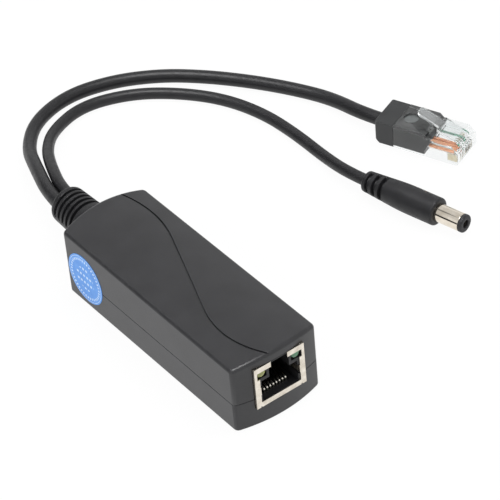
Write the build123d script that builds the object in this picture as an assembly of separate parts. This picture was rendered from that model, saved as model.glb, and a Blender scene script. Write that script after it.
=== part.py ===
"""Inline power-over-Ethernet splitter.

A small two-part plastic housing with a network jack in its bowed front wall. Two cords leave
through one ribbed boot at the back: the thicker one ends in a clear network plug, the thinner one
in a round power plug. Inside are the circuit board and the parts that separate power from data.

Millimetres. X is the width seen from the jack end, Y runs from the jack to the cords, Z is up.
The origin is the centre of the housing's base. Each function makes one group of pieces.
"""
from build123d import *
from math import acos, atan2, cos, degrees, pi, radians, sin, tan
import os

# Housing
housing_width = 28.2
housing_length = 81.7
side_height = 21.6
crown_rise = 1.7
front_bow = 2.3
rear_bow = 2.1
wall = 2.0
corner_round = 1.6
top_round = 1.2
base_round = 0.9
parting_height = 9.7
lip_height = 1.4
lip_thickness = 0.9
lip_gap = 0.12
reveal_height = 0.2
reveal_depth = 0.2
groove_width = 0.55
groove_depth = 0.45
groove_sweep = 60.0
rear_bulge_x = 8.8
rear_bulge_y = 28.2
rear_bulge_radius = 35.0
front_bulge_x = 7.1
front_bulge_y = 25.5
front_bulge_radius = 30.0

# Circuit board and the posts that hold it
board_side_gap = 0.5
board_front_gap = 0.1
board_rear_gap = 2.35
board_thickness = 1.6
board_standoff = 2.7
post_radius = 1.6
post_side_inset = 1.9
post_behind_jack = 3.15
post_rear_inset = 3.0
peg_radius = 0.8
peg_gap = 0.1
seat_gap = 0.05
clamp_gap = 0.1

# Network jack
jack_width = 16.6
jack_height = 13.85
jack_depth = 21.3
shield_thickness = 0.3
jack_gap = 0.15
insert_gap = 0.05
sill_height = 1.65
cavity_width = 12.0
cavity_height = 7.0
cavity_depth = 13.6
window_half_width = 6.6
top_strip = 1.75
lamp_window_height = 2.35
lamp_window_half = 7.4
tab_slot_width = 6.6
shield_slot_width = 5.5
shield_slot_depth = 3.2
lamp_radius = 1.45
lamp_nose_round = 0.6
lamp_length = 7.5
lamp_spacing = 11.4
lamp_gap = 0.15
lamp_recess = 0.4
lamp_lead = 0.5
lamp_lead_pitch = 1.27
lamp_drop = 2.55
jack_peg_radius = 1.5
jack_peg_x = 5.7
flange_reach = 2.6
relief_notch = 0.35
finger_rise = 2.6
finger_height = 2.5
finger_depth = 6.2
finger_lean = 0.45
latch_slot_depth = 10.0
insert_back = 1.0
contact_row_inset = 4.6
contact_stagger = 2.5
contact_tail = 1.0
contact_front_inset = 2.75
contact_tip_inset = 10.4
contact_step = 0.9
contact_rise = 4.2
contact_bend = 0.35
contact_pitch = 1.02
contact_width = 0.45
contact_thickness = 0.32
contact_count = 8
leg_width = 1.5
leg_inset = 12.8

# Parts on the board, placed from the middle of its width and the jack's rear. The sizes are for a
# board of the full width with the full length behind the jack; on a smaller one they draw in
full_board_width = 23.2
full_parts_length = 53.95
pin_reach = 1.3
pin_foot = 0.6
pin_thickness = 0.2
pin_knee = 1.0
pin_pitch = 1.27
pin_width = 0.42
chip_bevel = 0.3
data_chip_y = 6.65
data_chip_width = 12.4
data_chip_length = 6.6
data_chip_height = 3.2
data_chip_lift = 0.35
data_chip_pins = 8
bridge_x = 9.3
bridge_y = 11.95
bridge_width = 3.6
bridge_length = 4.6
bridge_height = 2.3
controller_x = 7.9
controller_y = 29.15
controller_width = 3.9
controller_length = 4.9
controller_height = 1.45
controller_lift = 0.15
controller_pins = 4
switch_x = 8.0
switch_y = 20.75
switch_width = 5.2
switch_length = 6.0
switch_height = 2.2
input_can_x = 7.0
input_can_y = 33.95
input_can_radius = 4.0
input_can_height = 11.5
output_can_x = 7.9
output_can_y = 41.95
output_can_pitch = 7.3
output_can_radius = 3.15
output_can_height = 11.0
can_edge = 0.35
can_waist_height = 2.0
can_waist_half = 0.4
diode_x = 8.2
diode_y = 35.75
diode_width = 4.4
diode_length = 2.6
diode_height = 2.2
coupler_x = 1.2
coupler_y = 32.95
coupler_width = 4.4
coupler_length = 6.0
coupler_height = 3.0
ceramic_left_x = 9.6
ceramic_left_y = 23.45
ceramic_right_x = 4.7
ceramic_right_y = 34.25
ceramic_pitch = 2.6
ceramic_width = 1.2
ceramic_length = 2.0
ceramic_height = 1.1
resistor_front_x = 6.1
resistor_front_y = 15.95
resistor_rear_x = 1.0
resistor_rear_y = 37.35
resistor_pitch = 2.3
resistor_width = 1.25
resistor_length = 2.0
resistor_height = 0.55
converter_x = 2.3
converter_y = 21.75
core_size = 13.0
core_height = 9.0
core_depth = 6.4
core_leg = 1.7
core_lift = 1.0
bobbin_wall = 0.5
bobbin_gap = 0.1
winding_reach = 5.0
bobbin_pin_radius = 0.3
bobbin_pin_pitch = 2.5
inductor_x = 7.0
inductor_y = 43.15
inductor_radius = 3.6
inductor_height = 7.0
inductor_core_radius = 1.8
inductor_flange = 1.1
inductor_slope = 0.4

# Rear boot
boot_root_radius = 6.35
boot_end_radius = 5.7
boot_length = 18.0
boot_height = 11.85
boot_end_round = 1.5
boot_tilt = 22.0
neck_radius = 5.2
neck_gap = 0.05
flange_radius = 6.6
flange_thickness = 1.8
boot_slot_count = 5
boot_slot_width = 0.95
boot_slot_pitch = 2.0
boot_slot_start = 2.65
boot_core_radius = 4.5
boot_spine = 3.9

# Cords
ethernet_cord_diameter = 4.2
dc_cord_diameter = 3.6
cord_spacing = 0.2
cord_tilt = 4.0
cord_seat = 6.0
cord_gap = 0.05
cord_straight = 11.0
plug_seat = 3.0
plug_straight = 9.0
lead_diameter = 0.9
lead_run = 1.5
lead_drop = 2.2
lead_bend = 0.7
data_pad_x = 2.5
data_pad_pitch = 1.8
data_pad_inset = 2.6
data_pad_stagger = 1.0
power_lead_diameter = 1.3
power_pad_x = 4.6
power_pad_pitch = 2.4
power_pad_inset = 3.0

# Network plug
plug_width = 11.68
plug_length = 21.4
plug_front_height = 6.6
plug_rear_height = 7.8
plug_step = 10.4
plug_nose_height = 4.6
plug_chin = 0.6
plug_wall = 0.95
latch_width = 6.2
latch_tail = 3.3
latch_shoulder = 8.2
latch_end = 15.4
latch_top = 12.0
latch_thickness = 1.05
latch_root = 0.8
latch_root_height = 5.9
latch_side_gap = 0.25
latch_floor = 5.1
boss_radius = 2.3
boss_depth = 0.75
boss_place = 18.2
ramp_share = 0.7
latch_end_round = 1.0
block_length = 6.1
block_corner = 1.3
tongue_front = 9.0
tongue_slope = 3.0
tongue_floor = 0.35
tongue_gap = 0.06
wire_diameter = 0.96
wire_front = 1.8
wire_level = 3.5
wire_bore = 1.0
blade_thickness = 0.3
blade_length = 3.0
blade_slot = 0.5
blade_lift = 0.35
blade_front = 1.0
blade_top_gap = 0.05
plug_x = 107.8
plug_y = 9.2
plug_turn = 22.26

# Power plug
barrel_radius = 2.75
barrel_wall = 0.35
barrel_length = 9.5
barrel_step = 0.2
barrel_step_gap = 0.1
tip_length = 1.3
tip_edge = 0.35
sleeve_gap = 0.05
pin_bore_radius = 1.05
centre_wall = 0.3
centre_recess = 0.8
tip_hole_radius = 1.25
grip_radius = 4.2
grip_tail_radius = 3.15
grip_length = 25.6
grip_straight = 12.0
grip_front_round = 1.2
grip_tail_round = 0.9
barrel_seat = 3.5
grip_slot_width = 1.2
grip_slot_pitch = 2.5
grip_slot_start = 2.0
grip_slot_count = 3
grip_core_radius = 2.3
grip_spine = 1.5
grip_spine_turn = 60.0
tip_x = 83.7
tip_y = -18.3
dc_turn = 13.83

# Seal on the left side
seal_radius = 8.0
seal_thickness = 0.1
seal_rear_inset = 11.35
seal_z = 10.1

# Places worked out from the sizes above
half_width = housing_width / 2
half_length = housing_length / 2
front_face = -half_length
board_width = housing_width - 2 * (wall + board_side_gap)
board_front = front_face + wall + front_bow + board_front_gap
board_rear = half_length - wall - rear_bow - board_rear_gap
board_bottom = wall + board_standoff
board_top = board_bottom + board_thickness
jack_bottom = board_top + seat_gap
jack_top = jack_bottom + jack_height
jack_rear = front_face + jack_depth
post_x = board_width / 2 - post_side_inset
front_post_y = jack_rear + post_behind_jack
rear_post_y = board_rear - post_rear_inset
width_share = board_width / full_board_width
length_share = (board_rear - jack_rear) / full_parts_length
part_scale = min(1, width_share, length_share)
boot_end = half_length + boot_length
pair_width = ethernet_cord_diameter + cord_spacing + dc_cord_diameter
cavity_floor = jack_bottom + sill_height
cavity_top = cavity_floor + cavity_height
shield_leg_y = front_face + leg_inset
lamp_window_top = jack_top - top_strip
lamp_floor = lamp_window_top - lamp_window_height
lamp_height = jack_top - lamp_drop
insert_front = front_face + shield_thickness + insert_gap
insert_rear = jack_rear - insert_back
insert_bottom = jack_bottom + shield_thickness + insert_gap
insert_top = jack_top - shield_thickness - insert_gap
lamp_lead_y = (insert_rear + jack_rear - shield_thickness) / 2
contact_front = front_face + contact_front_inset
cord_level = plug_rear_height / 2
tongue_roof = plug_front_height - plug_wall / 2
seal_y = half_length - seal_rear_inset
ethernet_offset = -(pair_width - ethernet_cord_diameter) / 2
dc_offset = (pair_width - dc_cord_diameter) / 2


def block(x0, x1, y0, y1, z0, z1):
    """Rectangular block between two corners."""
    middle = Pos((x0 + x1) / 2, (y0 + y1) / 2, (z0 + z1) / 2)
    return middle * Box(x1 - x0, y1 - y0, z1 - z0)


def rod(radius, start, end):
    """Round bar between two points."""
    axis = Vector(*end) - Vector(*start)
    return extrude(Plane(origin=start, z_dir=axis) * Circle(radius), axis.length)


def turned(points):
    """Solid of revolution about the Y axis from (radius, y) points."""
    return revolve(make_face(Polyline(*points, close=True)), Axis.Y)


def square_hole(x, y, half_x, half_y):
    """Rectangular clearance through the board."""
    return block(x - half_x, x + half_x, y - half_y, y + half_y, board_bottom - wall, board_top + wall)


def upright(points):
    """Solid of revolution about the Z axis from (radius, z) points."""
    return revolve(Plane.XZ * make_face(Polyline(*points, close=True)), Axis.Z)


def side_slab(points, x0, x1):
    """Outline given as (y, z) points, as thick as the span from x0 to x1."""
    outline = make_face(Polyline(*points, close=True))
    plane = Plane(origin=(x0, 0, 0), x_dir=(0, 1, 0), z_dir=(1, 0, 0))
    return extrude(plane * outline, x1 - x0)


def front_slab(points, y0, y1):
    """Outline given as (x, z) points, as thick as the span from y0 to y1."""
    outline = make_face(Polyline(*points, close=True))
    plane = Plane(origin=(0, y1, 0), x_dir=(1, 0, 0), z_dir=(0, -1, 0))
    return extrude(plane * outline, y1 - y0)


def bent_wire(radius, points, bend):
    """Round wire along straight runs joined by arcs."""
    path = FilletPolyline(*points, radius=bend)
    section = Plane(origin=path @ 0, z_dir=path % 0) * Circle(radius)
    return sweep(section, path=path)


def mirrored(piece):
    """The piece and its mirror image across the middle of the width."""
    return piece + mirror(piece, about=Plane.YZ)


def crowned_bar(inset=0):
    """Bar longer than the housing with the crowned section, its top and base drawn in."""
    low = inset
    edge = side_height - inset
    reach = half_length + wall
    section = make_face(
        Curve()
        + Line((-housing_width, low), (housing_width, low))
        + Line((housing_width, low), (half_width, edge))
        + ThreePointArc((half_width, edge), (0, edge + crown_rise), (-half_width, edge))
        + Line((-half_width, edge), (-housing_width, low))
    )
    across = Plane(origin=(0, reach, 0), x_dir=(1, 0, 0), z_dir=(0, -1, 0))
    return extrude(across * section, 2 * reach)


def housing_form(inset):
    """Outer form of the housing, drawn in by the inset: bowed ends under a crowned top."""
    half = half_width - inset
    front = front_face + inset
    rear = half_length - inset
    left_front = (-half, front + front_bow)
    right_front = (half, front + front_bow)
    right_rear = (half, rear - rear_bow)
    left_rear = (-half, rear - rear_bow)
    plan = make_face(
        Curve()
        + ThreePointArc(left_front, (0, front), right_front)
        + Line(right_front, right_rear)
        + ThreePointArc(right_rear, (0, rear), left_rear)
        + Line(left_rear, left_front)
    )
    column = Pos(0, 0, -wall) * extrude(plan, side_height + crown_rise + 2 * wall)
    return column & crowned_bar(inset)


def round_cornered(skin):
    """Outer form grown by the thickness of a skin, with its four upright corners rounded."""
    form = housing_form(-skin)
    return fillet(form.edges().filter_by(Axis.Z), corner_round + skin)


def rounded_housing():
    """Outer form with its corners and edges rounded."""
    form = round_cornered(0)
    form = fillet(form.faces().sort_by(Axis.Z)[-1].edges(), top_round)
    return fillet(form.faces().sort_by(Axis.Z)[0].edges(), base_round)


def top_groove():
    """S-shaped groove over the top: two arcs joined by their common tangent."""
    rear_centre = Vector(rear_bulge_x - rear_bulge_radius, rear_bulge_y)
    front_centre = Vector(front_bulge_radius - front_bulge_x, -front_bulge_y)
    between = front_centre - rear_centre
    lean = atan2(between.Y, between.X) + acos((rear_bulge_radius + front_bulge_radius) / between.length)
    outward = Vector(cos(lean), sin(lean))
    rear_tangent = rear_centre + outward * rear_bulge_radius
    front_tangent = front_centre - outward * front_bulge_radius
    line = (
        Curve()
        + CenterArc(rear_centre, rear_bulge_radius, degrees(lean), groove_sweep)
        + Line(rear_tangent, front_tangent)
        + CenterArc(front_centre, front_bulge_radius, 180 + degrees(lean), groove_sweep)
    )
    strip = extrude(trace(line, groove_width), side_height + crown_rise + wall)
    return strip - Pos(0, 0, -groove_depth) * crowned_bar()


def jack_opening():
    """Space that the jack passes through in the front wall."""
    return block(
        -jack_width / 2 - jack_gap,
        jack_width / 2 + jack_gap,
        front_face - wall,
        front_face + wall + front_bow,
        jack_bottom - jack_gap,
        jack_top + jack_gap,
    )


def neck_opening():
    """Round hole for the boot's neck in the rear wall."""
    start = (0, half_length - wall - rear_bow, boot_height)
    return rod(neck_radius + neck_gap, start, (0, half_length + wall, boot_height))


def post_places():
    """Centres of the four posts under and over the board."""
    return [(side * post_x, y) for y in (front_post_y, rear_post_y) for side in (-1, 1)]


def covers():
    """Upper and lower cover, which meet at a stepped joint under a fine shadow line."""
    outside = rounded_housing()
    inside = housing_form(wall)
    shell = outside - inside - jack_opening() - neck_opening()
    reach = housing_length + boot_length
    above = block(-reach, reach, -reach, reach, parting_height, reach)
    below = block(-reach, reach, -reach, reach, -wall, parting_height)
    lip_slab = block(-reach, reach, -reach, reach, parting_height, parting_height + lip_height)
    rebate_slab = block(-reach, reach, -reach, reach, parting_height, parting_height + lip_height + lip_gap)
    reveal_slab = block(-reach, reach, -reach, reach, parting_height - reveal_height, parting_height)

    lip = (housing_form(wall - lip_thickness) & lip_slab) - inside - jack_opening() - neck_opening()
    lower = (shell & below) - (reveal_slab - housing_form(reveal_depth)) + lip
    upper = (shell & above) - (housing_form(wall - lip_thickness - lip_gap) & rebate_slab) - top_groove()

    for x, y in post_places():
        lower += rod(post_radius, (x, y, wall / 2), (x, y, board_bottom))
        lower += rod(peg_radius, (x, y, board_bottom), (x, y, board_top))
        hanger = rod(post_radius, (x, y, board_top + clamp_gap), (x, y, side_height + crown_rise))
        upper += hanger & housing_form(wall / 2)
    return upper, lower


def circuit_board():
    """Board with holes for the posts' pegs and the jack's contacts, lamp leads, legs and pegs."""
    board = block(-board_width / 2, board_width / 2, board_front, board_rear, board_bottom, board_top)
    for x, y in post_places():
        board -= rod(peg_radius + peg_gap, (x, y, board_bottom - wall), (x, y, board_top + wall))
    for x, y in contact_places():
        board -= square_hole(x, y, contact_width / 2 + peg_gap, contact_thickness / 2 + peg_gap)
    for x, y in lamp_lead_places():
        board -= square_hole(x, y, lamp_lead / 2 + peg_gap, lamp_lead / 2 + peg_gap)
    for side in (-1, 1):
        x = side * (jack_width - shield_thickness) / 2
        board -= square_hole(x, shield_leg_y, shield_thickness / 2 + peg_gap, leg_width / 2 + peg_gap)
        peg_x = side * jack_peg_x
        low = (peg_x, shield_leg_y, board_bottom - wall)
        board -= rod(jack_peg_radius + peg_gap, low, (peg_x, shield_leg_y, board_top + wall))
    return board


def lamp_lead_places():
    """Where the lamps' leads pass through the board, behind the insert."""
    steps = (-lamp_lead_pitch / 2, lamp_lead_pitch / 2)
    return [(side * lamp_spacing / 2 + step, lamp_lead_y) for side in (-1, 1) for step in steps]


def contact_places():
    """Where the contacts' tails pass through the board, in two staggered rows."""
    places = []
    for index in range(contact_count):
        x = (index - (contact_count - 1) / 2) * contact_pitch
        places.append((x, jack_rear - contact_row_inset - contact_stagger * (index % 2)))
    return places


def jack_shield():
    """Folded tin shield: frame-shaped face, sides with legs, top, back and a short sill flange."""
    half = jack_width / 2
    outer = block(-half, half, front_face, jack_rear, jack_bottom, jack_top)
    inner = block(
        -half + shield_thickness, half - shield_thickness,
        front_face + shield_thickness, jack_rear - shield_thickness,
        jack_bottom - wall, jack_top - shield_thickness,
    )
    shield = outer - inner
    slot = shield_slot_width / 2
    opening = [
        (-window_half_width, cavity_floor), (window_half_width, cavity_floor),
        (window_half_width, lamp_floor), (lamp_window_half, lamp_floor),
        (lamp_window_half, lamp_window_top), (slot, lamp_window_top),
        (slot, jack_top + wall), (-slot, jack_top + wall),
        (-slot, lamp_window_top), (-lamp_window_half, lamp_window_top),
        (-lamp_window_half, lamp_floor), (-window_half_width, lamp_floor),
    ]
    shield -= front_slab(opening, front_face - wall, front_face + shield_thickness)
    shield -= block(-slot, slot, front_face, front_face + shield_slot_depth, cavity_top, jack_top + wall)
    shield += block(
        -window_half_width, window_half_width,
        front_face, front_face + flange_reach, jack_bottom, jack_bottom + shield_thickness,
    )
    relief = block(
        window_half_width, window_half_width + relief_notch,
        front_face - wall, front_face + flange_reach, jack_bottom - wall, jack_bottom + relief_notch,
    )
    shield -= mirrored(relief)
    leg_end = board_bottom - contact_tail
    leg = block(
        half - shield_thickness, half,
        shield_leg_y - leg_width / 2, shield_leg_y + leg_width / 2, leg_end, jack_bottom + wall,
    )
    tip = window_half_width - finger_lean
    finger = [
        (window_half_width + shield_thickness, front_face),
        (window_half_width + shield_thickness, front_face + shield_thickness),
        (tip + shield_thickness, front_face + finger_depth),
        (tip, front_face + finger_depth),
        (window_half_width - shield_thickness / 2, front_face),
    ]
    outline = make_face(Polyline(*finger, close=True))
    spring = Pos(0, 0, cavity_floor + finger_rise) * extrude(outline, finger_height)
    return shield + mirrored(leg + spring)


def jack_insert():
    """Black moulding in the shield: plug cavity, latch slot, lamp pockets and contact channel."""
    half = jack_width / 2 - shield_thickness - insert_gap
    insert = block(-half, half, insert_front, insert_rear, insert_bottom, insert_top)
    before = front_face - wall
    insert -= block(
        -cavity_width / 2, cavity_width / 2,
        before, front_face + cavity_depth, cavity_floor, cavity_top,
    )
    slot = tab_slot_width / 2
    slot_top = insert_top - shield_thickness
    insert -= block(-slot, slot, before, front_face + latch_slot_depth, cavity_floor, slot_top)
    lamp_reach = lamp_radius + lamp_gap
    pocket = block(
        lamp_spacing / 2 - lamp_reach, lamp_spacing / 2 + lamp_reach,
        before, jack_rear, lamp_height - lamp_reach, jack_top,
    )
    finger_low = cavity_floor + finger_rise
    finger_space = block(
        cavity_width / 2 - insert_gap, window_half_width + 2 * shield_thickness,
        before, front_face + finger_depth + shield_thickness,
        finger_low - shield_thickness, finger_low + finger_height + shield_thickness,
    )
    insert -= mirrored(pocket + finger_space)
    reach = contact_count * contact_pitch / 2 + peg_gap
    comb_front = contact_front - peg_gap
    channel_top = insert_bottom + contact_thickness + 2 * insert_gap
    insert -= block(-reach, reach, comb_front, insert_rear - insert_back, board_top, channel_top)
    comb_rear = contact_front + contact_thickness + contact_step
    insert -= block(-reach, reach, comb_front, comb_rear, board_top, cavity_floor + contact_step)
    peg_top = (jack_peg_x, shield_leg_y, insert_bottom + shield_thickness)
    peg = rod(jack_peg_radius, (jack_peg_x, shield_leg_y, board_bottom), peg_top)
    return insert + mirrored(peg)


def jack_contacts():
    """Eight gold-plated wires: tail through the board, along the channel, back up at a slant."""
    low = insert_bottom + insert_gap + contact_thickness / 2
    front = contact_front + contact_thickness / 2
    contacts = Part()
    for x, y in contact_places():
        route = FilletPolyline(
            (y, board_bottom - contact_tail),
            (y, low),
            (front, low),
            (front, cavity_floor + contact_step),
            (front_face + contact_tip_inset, cavity_floor + contact_rise),
            radius=contact_bend,
        )
        strip = trace(Curve() + route, contact_thickness)
        plane = Plane(origin=(x - contact_width / 2, 0, 0), x_dir=(0, 1, 0), z_dir=(1, 0, 0))
        contacts += extrude(plane * strip, contact_width)
    return contacts


def lamp(side):
    """Round indicator lamp with a rounded nose, lying along Y in its pocket."""
    x = side * lamp_spacing / 2
    nose = front_face + lamp_recess
    body = rod(lamp_radius, (x, nose, lamp_height), (x, nose + lamp_length, lamp_height))
    return fillet(body.edges().filter_by(GeomType.CIRCLE).sort_by(Axis.Y)[0], lamp_nose_round)


def lamp_leads():
    """Two square leads behind each lamp, bent down behind the insert and through the board."""
    leads = Part()
    start = front_face + lamp_recess + lamp_length
    half = lamp_lead / 2
    tail = board_bottom - contact_tail
    for x, y in lamp_lead_places():
        leads += block(x - half, x + half, start, y + half, lamp_height - half, lamp_height + half)
        leads += block(x - half, x + half, y - half, y + half, tail, lamp_height + half)
    return leads


def on_board(x, y, piece):
    """Piece drawn around its own foot, set at its place and drawn in with a smaller board."""
    if part_scale < 1:
        piece = scale(piece, by=part_scale)
    return Pos(x * width_share, jack_rear + y * length_share, board_top + seat_gap) * piece


def gull_wing_pins(half_body, count, quarter_turns):
    """Two rows of bent pins from a chip's sides down to the board."""
    tip = half_body + pin_reach
    outline = [
        (half_body, pin_knee), (tip - pin_foot, pin_knee), (tip - pin_foot + pin_thickness, pin_thickness),
        (tip, pin_thickness), (tip, 0), (tip - pin_foot, 0),
        (tip - pin_foot - pin_thickness, pin_knee - pin_thickness), (half_body, pin_knee - pin_thickness),
    ]
    pins = Part()
    for index in range(count):
        along = (index - (count - 1) / 2) * pin_pitch
        pin = side_slab(outline, along - pin_width / 2, along + pin_width / 2)
        pins += pin + Rot(0, 0, 180) * pin
    return Rot(0, 0, 90 * quarter_turns) * pins


def chip(width, length, height, lift=0):
    """Moulded chip package with a bevelled upper edge."""
    body = block(-width / 2, width / 2, -length / 2, length / 2, lift, lift + height)
    return chamfer(body.faces().sort_by(Axis.Z)[-1].edges(), chip_bevel)


def can_capacitor(radius, height):
    """Electrolytic can with a rolled waist over its rubber seal and a slightly sunk top."""
    profile = [
        (0, 0), (radius - can_edge, 0), (radius, can_edge),
        (radius, can_waist_height - can_waist_half), (radius - can_edge, can_waist_height),
        (radius, can_waist_height + can_waist_half),
        (radius, height - can_edge), (radius - can_edge, height),
        (radius - 2 * can_edge, height - can_edge / 2), (0, height - can_edge / 2),
    ]
    return upright(profile)


def power_transformer():
    """Two ferrite E halves, the winding and the bobbin that carries it with its pins."""
    half = core_size / 2
    half_depth = core_depth / 2
    middle = core_height / 2
    reach = half - core_leg
    frame = block(-half, half, -half_depth, half_depth, 0, core_height)
    frame -= block(-reach, reach, -half, half, core_leg, core_height - core_leg)
    frame += block(-core_leg, core_leg, -half_depth, half_depth, 0, core_height)
    frame -= block(-half, half, -half, half, middle - seat_gap / 2, middle + seat_gap / 2)

    sleeve_x = core_leg + bobbin_gap
    sleeve_y = half_depth + bobbin_gap
    flange_x = reach - bobbin_gap
    flange_low = core_leg + bobbin_gap
    flange_high = core_height - core_leg - bobbin_gap
    bobbin = block(
        -sleeve_x - bobbin_wall, sleeve_x + bobbin_wall, -sleeve_y - bobbin_wall, sleeve_y + bobbin_wall,
        flange_low, flange_high,
    )
    bobbin += block(-flange_x, flange_x, -half, half, flange_low, flange_low + bobbin_wall)
    bobbin += block(
        -flange_x, flange_x, -winding_reach, winding_reach, flange_high - bobbin_wall, flange_high
    )
    bobbin -= block(-sleeve_x, sleeve_x, -sleeve_y, sleeve_y, 0, core_height)
    foot = block(-flange_x, flange_x, sleeve_y, half, -core_lift / 2, flange_low + bobbin_wall)
    bobbin += foot + mirror(foot, about=Plane.XZ)

    winding = block(
        -flange_x, flange_x, -winding_reach, winding_reach,
        flange_low + bobbin_wall, flange_high - bobbin_wall,
    )
    winding = fillet(winding.edges().filter_by(Axis.Z), bobbin_wall)
    winding -= block(
        -sleeve_x - bobbin_wall, sleeve_x + bobbin_wall, -sleeve_y - bobbin_wall, sleeve_y + bobbin_wall,
        0, core_height,
    )
    pins = Part()
    for side in (-1, 1):
        for index in (-1, 0, 1):
            x = index * bobbin_pin_pitch
            y = side * (sleeve_y + half) / 2
            pins += rod(bobbin_pin_radius, (x, y, -core_lift), (x, y, -core_lift / 2))
    lift = Pos(0, 0, core_lift)
    return [on_board(-converter_x, converter_y, lift * piece) for piece in (frame, winding, bobbin, pins)]


def drum_inductor():
    """Ferrite drum with its copper coil wound between the flanges."""
    top = inductor_height
    throat = inductor_flange + inductor_slope
    drum = [
        (0, 0), (inductor_radius, 0), (inductor_radius, inductor_flange),
        (inductor_core_radius, throat), (inductor_core_radius, top - throat),
        (inductor_radius, top - inductor_flange), (inductor_radius, top), (0, top),
    ]
    inner = inductor_core_radius + bobbin_gap
    outer = inductor_radius - bobbin_gap - inductor_slope
    coil_low = throat + bobbin_gap
    coil = [(inner, coil_low), (outer, coil_low), (outer, top - coil_low), (inner, top - coil_low)]
    return [on_board(inductor_x, inductor_y, upright(profile)) for profile in (drum, coil)]


def pair_of_blocks(step_x, step_y, width, length, height):
    """Two loose chip parts of one size, a step apart."""
    one = block(-width / 2, width / 2, -length / 2, length / 2, 0, height)
    return Pos(-step_x / 2, -step_y / 2, 0) * one + Pos(step_x / 2, step_y / 2, 0) * one


def cord_exit(offset):
    """Where a cord's centre lies in the boot's end, at its offset along the tilted pair."""
    lean = radians(cord_tilt)
    return (offset * cos(lean), boot_height + offset * sin(lean))


def rear_boot():
    """Ribbed boot: flange inside, neck in the wall, tapered body slotted on its two sides."""
    flange_start = half_length - wall - flange_thickness
    mid_wall = half_length - wall / 2
    boot = turned([
        (0, flange_start), (flange_radius, flange_start), (flange_radius, mid_wall),
        (boot_root_radius, mid_wall), (boot_root_radius, half_length),
        (boot_end_radius, boot_end), (0, boot_end),
    ])
    end_edge = boot.edges().filter_by(GeomType.CIRCLE).sort_by(Axis.Y)[-1]
    boot = fillet(end_edge, boot_end_round)
    for index in range(boot_slot_count):
        middle = boot_end - boot_slot_start - index * boot_slot_pitch
        ring = turned([
            (boot_core_radius, middle - boot_slot_width / 2),
            (boot_root_radius + wall, middle - boot_slot_width / 2),
            (boot_root_radius + wall, middle + boot_slot_width / 2),
            (boot_core_radius, middle + boot_slot_width / 2),
        ])
        reach = boot_root_radius + wall
        spine = block(-reach, reach, middle - wall, middle + wall, -boot_spine / 2, boot_spine / 2)
        boot -= Rot(0, -boot_tilt, 0) * (ring - spine)
    boot = Pos(0, 0, boot_height) * boot - rear_wall_space()
    for offset, diameter in ((ethernet_offset, ethernet_cord_diameter), (dc_offset, dc_cord_diameter)):
        x, z = cord_exit(offset)
        boot -= rod(diameter / 2 + cord_gap, (x, boot_end - cord_seat, z), (x, boot_end + wall, z))
    return boot


def rear_wall_space():
    """The rear wall's own material around the neck, which the boot leaves free on both faces."""
    skin = housing_form(-neck_gap) - housing_form(wall + neck_gap)
    rear_half = block(
        -housing_width, housing_width, half_length - wall - 2 * rear_bow, housing_length,
        -wall, side_height + 2 * crown_rise,
    )
    start = (0, 0, boot_height)
    return (skin & rear_half) - rod(neck_radius, start, (0, housing_length, boot_height))


def arc_radii(points):
    """Bend radius at each inner point: 0.45 of the shorter run over the tangent of half the turn."""
    radii = []
    for before, corner, after in zip(points, points[1:], points[2:]):
        run_in = Vector(*corner) - Vector(*before)
        run_out = Vector(*after) - Vector(*corner)
        half_turn = radians(run_in.get_angle(run_out)) / 2
        radii.append(0.45 * min(run_in.length, run_out.length) / tan(half_turn))
    return radii


def cord_tube(name, points, diameter):
    """Plain tube along straight runs joined by large arcs."""
    radii = arc_radii(points)
    path = FilletPolyline(*points, radius=radii)
    tube = sweep(Plane(origin=path @ 0, z_dir=path % 0) * Circle(diameter / 2), path=path)
    full_volume = path.length * pi * diameter ** 2 / 4
    print(name, "bend radii", [round(value, 1) for value in radii])
    print(name, "length", round(path.length, 1), "volume ratio", round(tube.volume / full_volume, 4))
    return tube


network_plug_place = Location((plug_x, plug_y, 0), (0, 0, plug_turn))
power_plug_place = Location((tip_x, tip_y, grip_radius), (0, 0, dc_turn))


def placed_point(place, x, y, z):
    """A point of a plug's own frame, as the splitter's frame has it."""
    return tuple((place * Pos(x, y, z)).position)


def ethernet_cord():
    """Thick cord: out of the boot, down to the surface and round to the network plug."""
    x, z = cord_exit(ethernet_offset)
    start = boot_end - cord_seat
    end = plug_length + block_length
    points = [
        (x, start, z),
        (x, start + cord_straight, z),
        (5.0, 82.5, 8.1),
        (11.0, 96.5, 3.6),
        (21.0, 107.5, 2.1),
        (35.5, 111.5, 2.1),
        (50.0, 108.0, 2.1),
        (62.5, 100.5, 2.1),
        (72.0, 91.0, 2.1),
        (80.5, 80.0, 2.1),
        (88.0, 68.0, 2.1),
        (94.0, 55.5, 2.1),
        placed_point(network_plug_place, 0, end - plug_seat + plug_straight, cord_level),
        placed_point(network_plug_place, 0, end - plug_seat, cord_level),
    ]
    return cord_tube("ethernet_cord", points, ethernet_cord_diameter)


def dc_cord():
    """Thin cord: beside the thick one out of the boot, then inside its curve to the power plug."""
    x, z = cord_exit(dc_offset)
    start = boot_end - cord_seat
    end = barrel_length + grip_length
    points = [
        (x, start, z),
        (x, start + cord_straight, z),
        (7.8, 78.5, 10.0),
        (14.0, 90.5, 5.6),
        (22.5, 100.0, 2.3),
        (36.0, 104.5, 1.8),
        (50.5, 99.5, 1.8),
        (61.5, 90.0, 1.8),
        (70.0, 78.0, 1.8),
        (74.5, 64.0, 1.8),
        (75.5, 49.5, 1.8),
        (75.0, 34.5, 1.8),
        placed_point(power_plug_place, 0, end - plug_seat + plug_straight, 0),
        placed_point(power_plug_place, 0, end - plug_seat, 0),
    ]
    return cord_tube("dc_cord", points, dc_cord_diameter)


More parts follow.
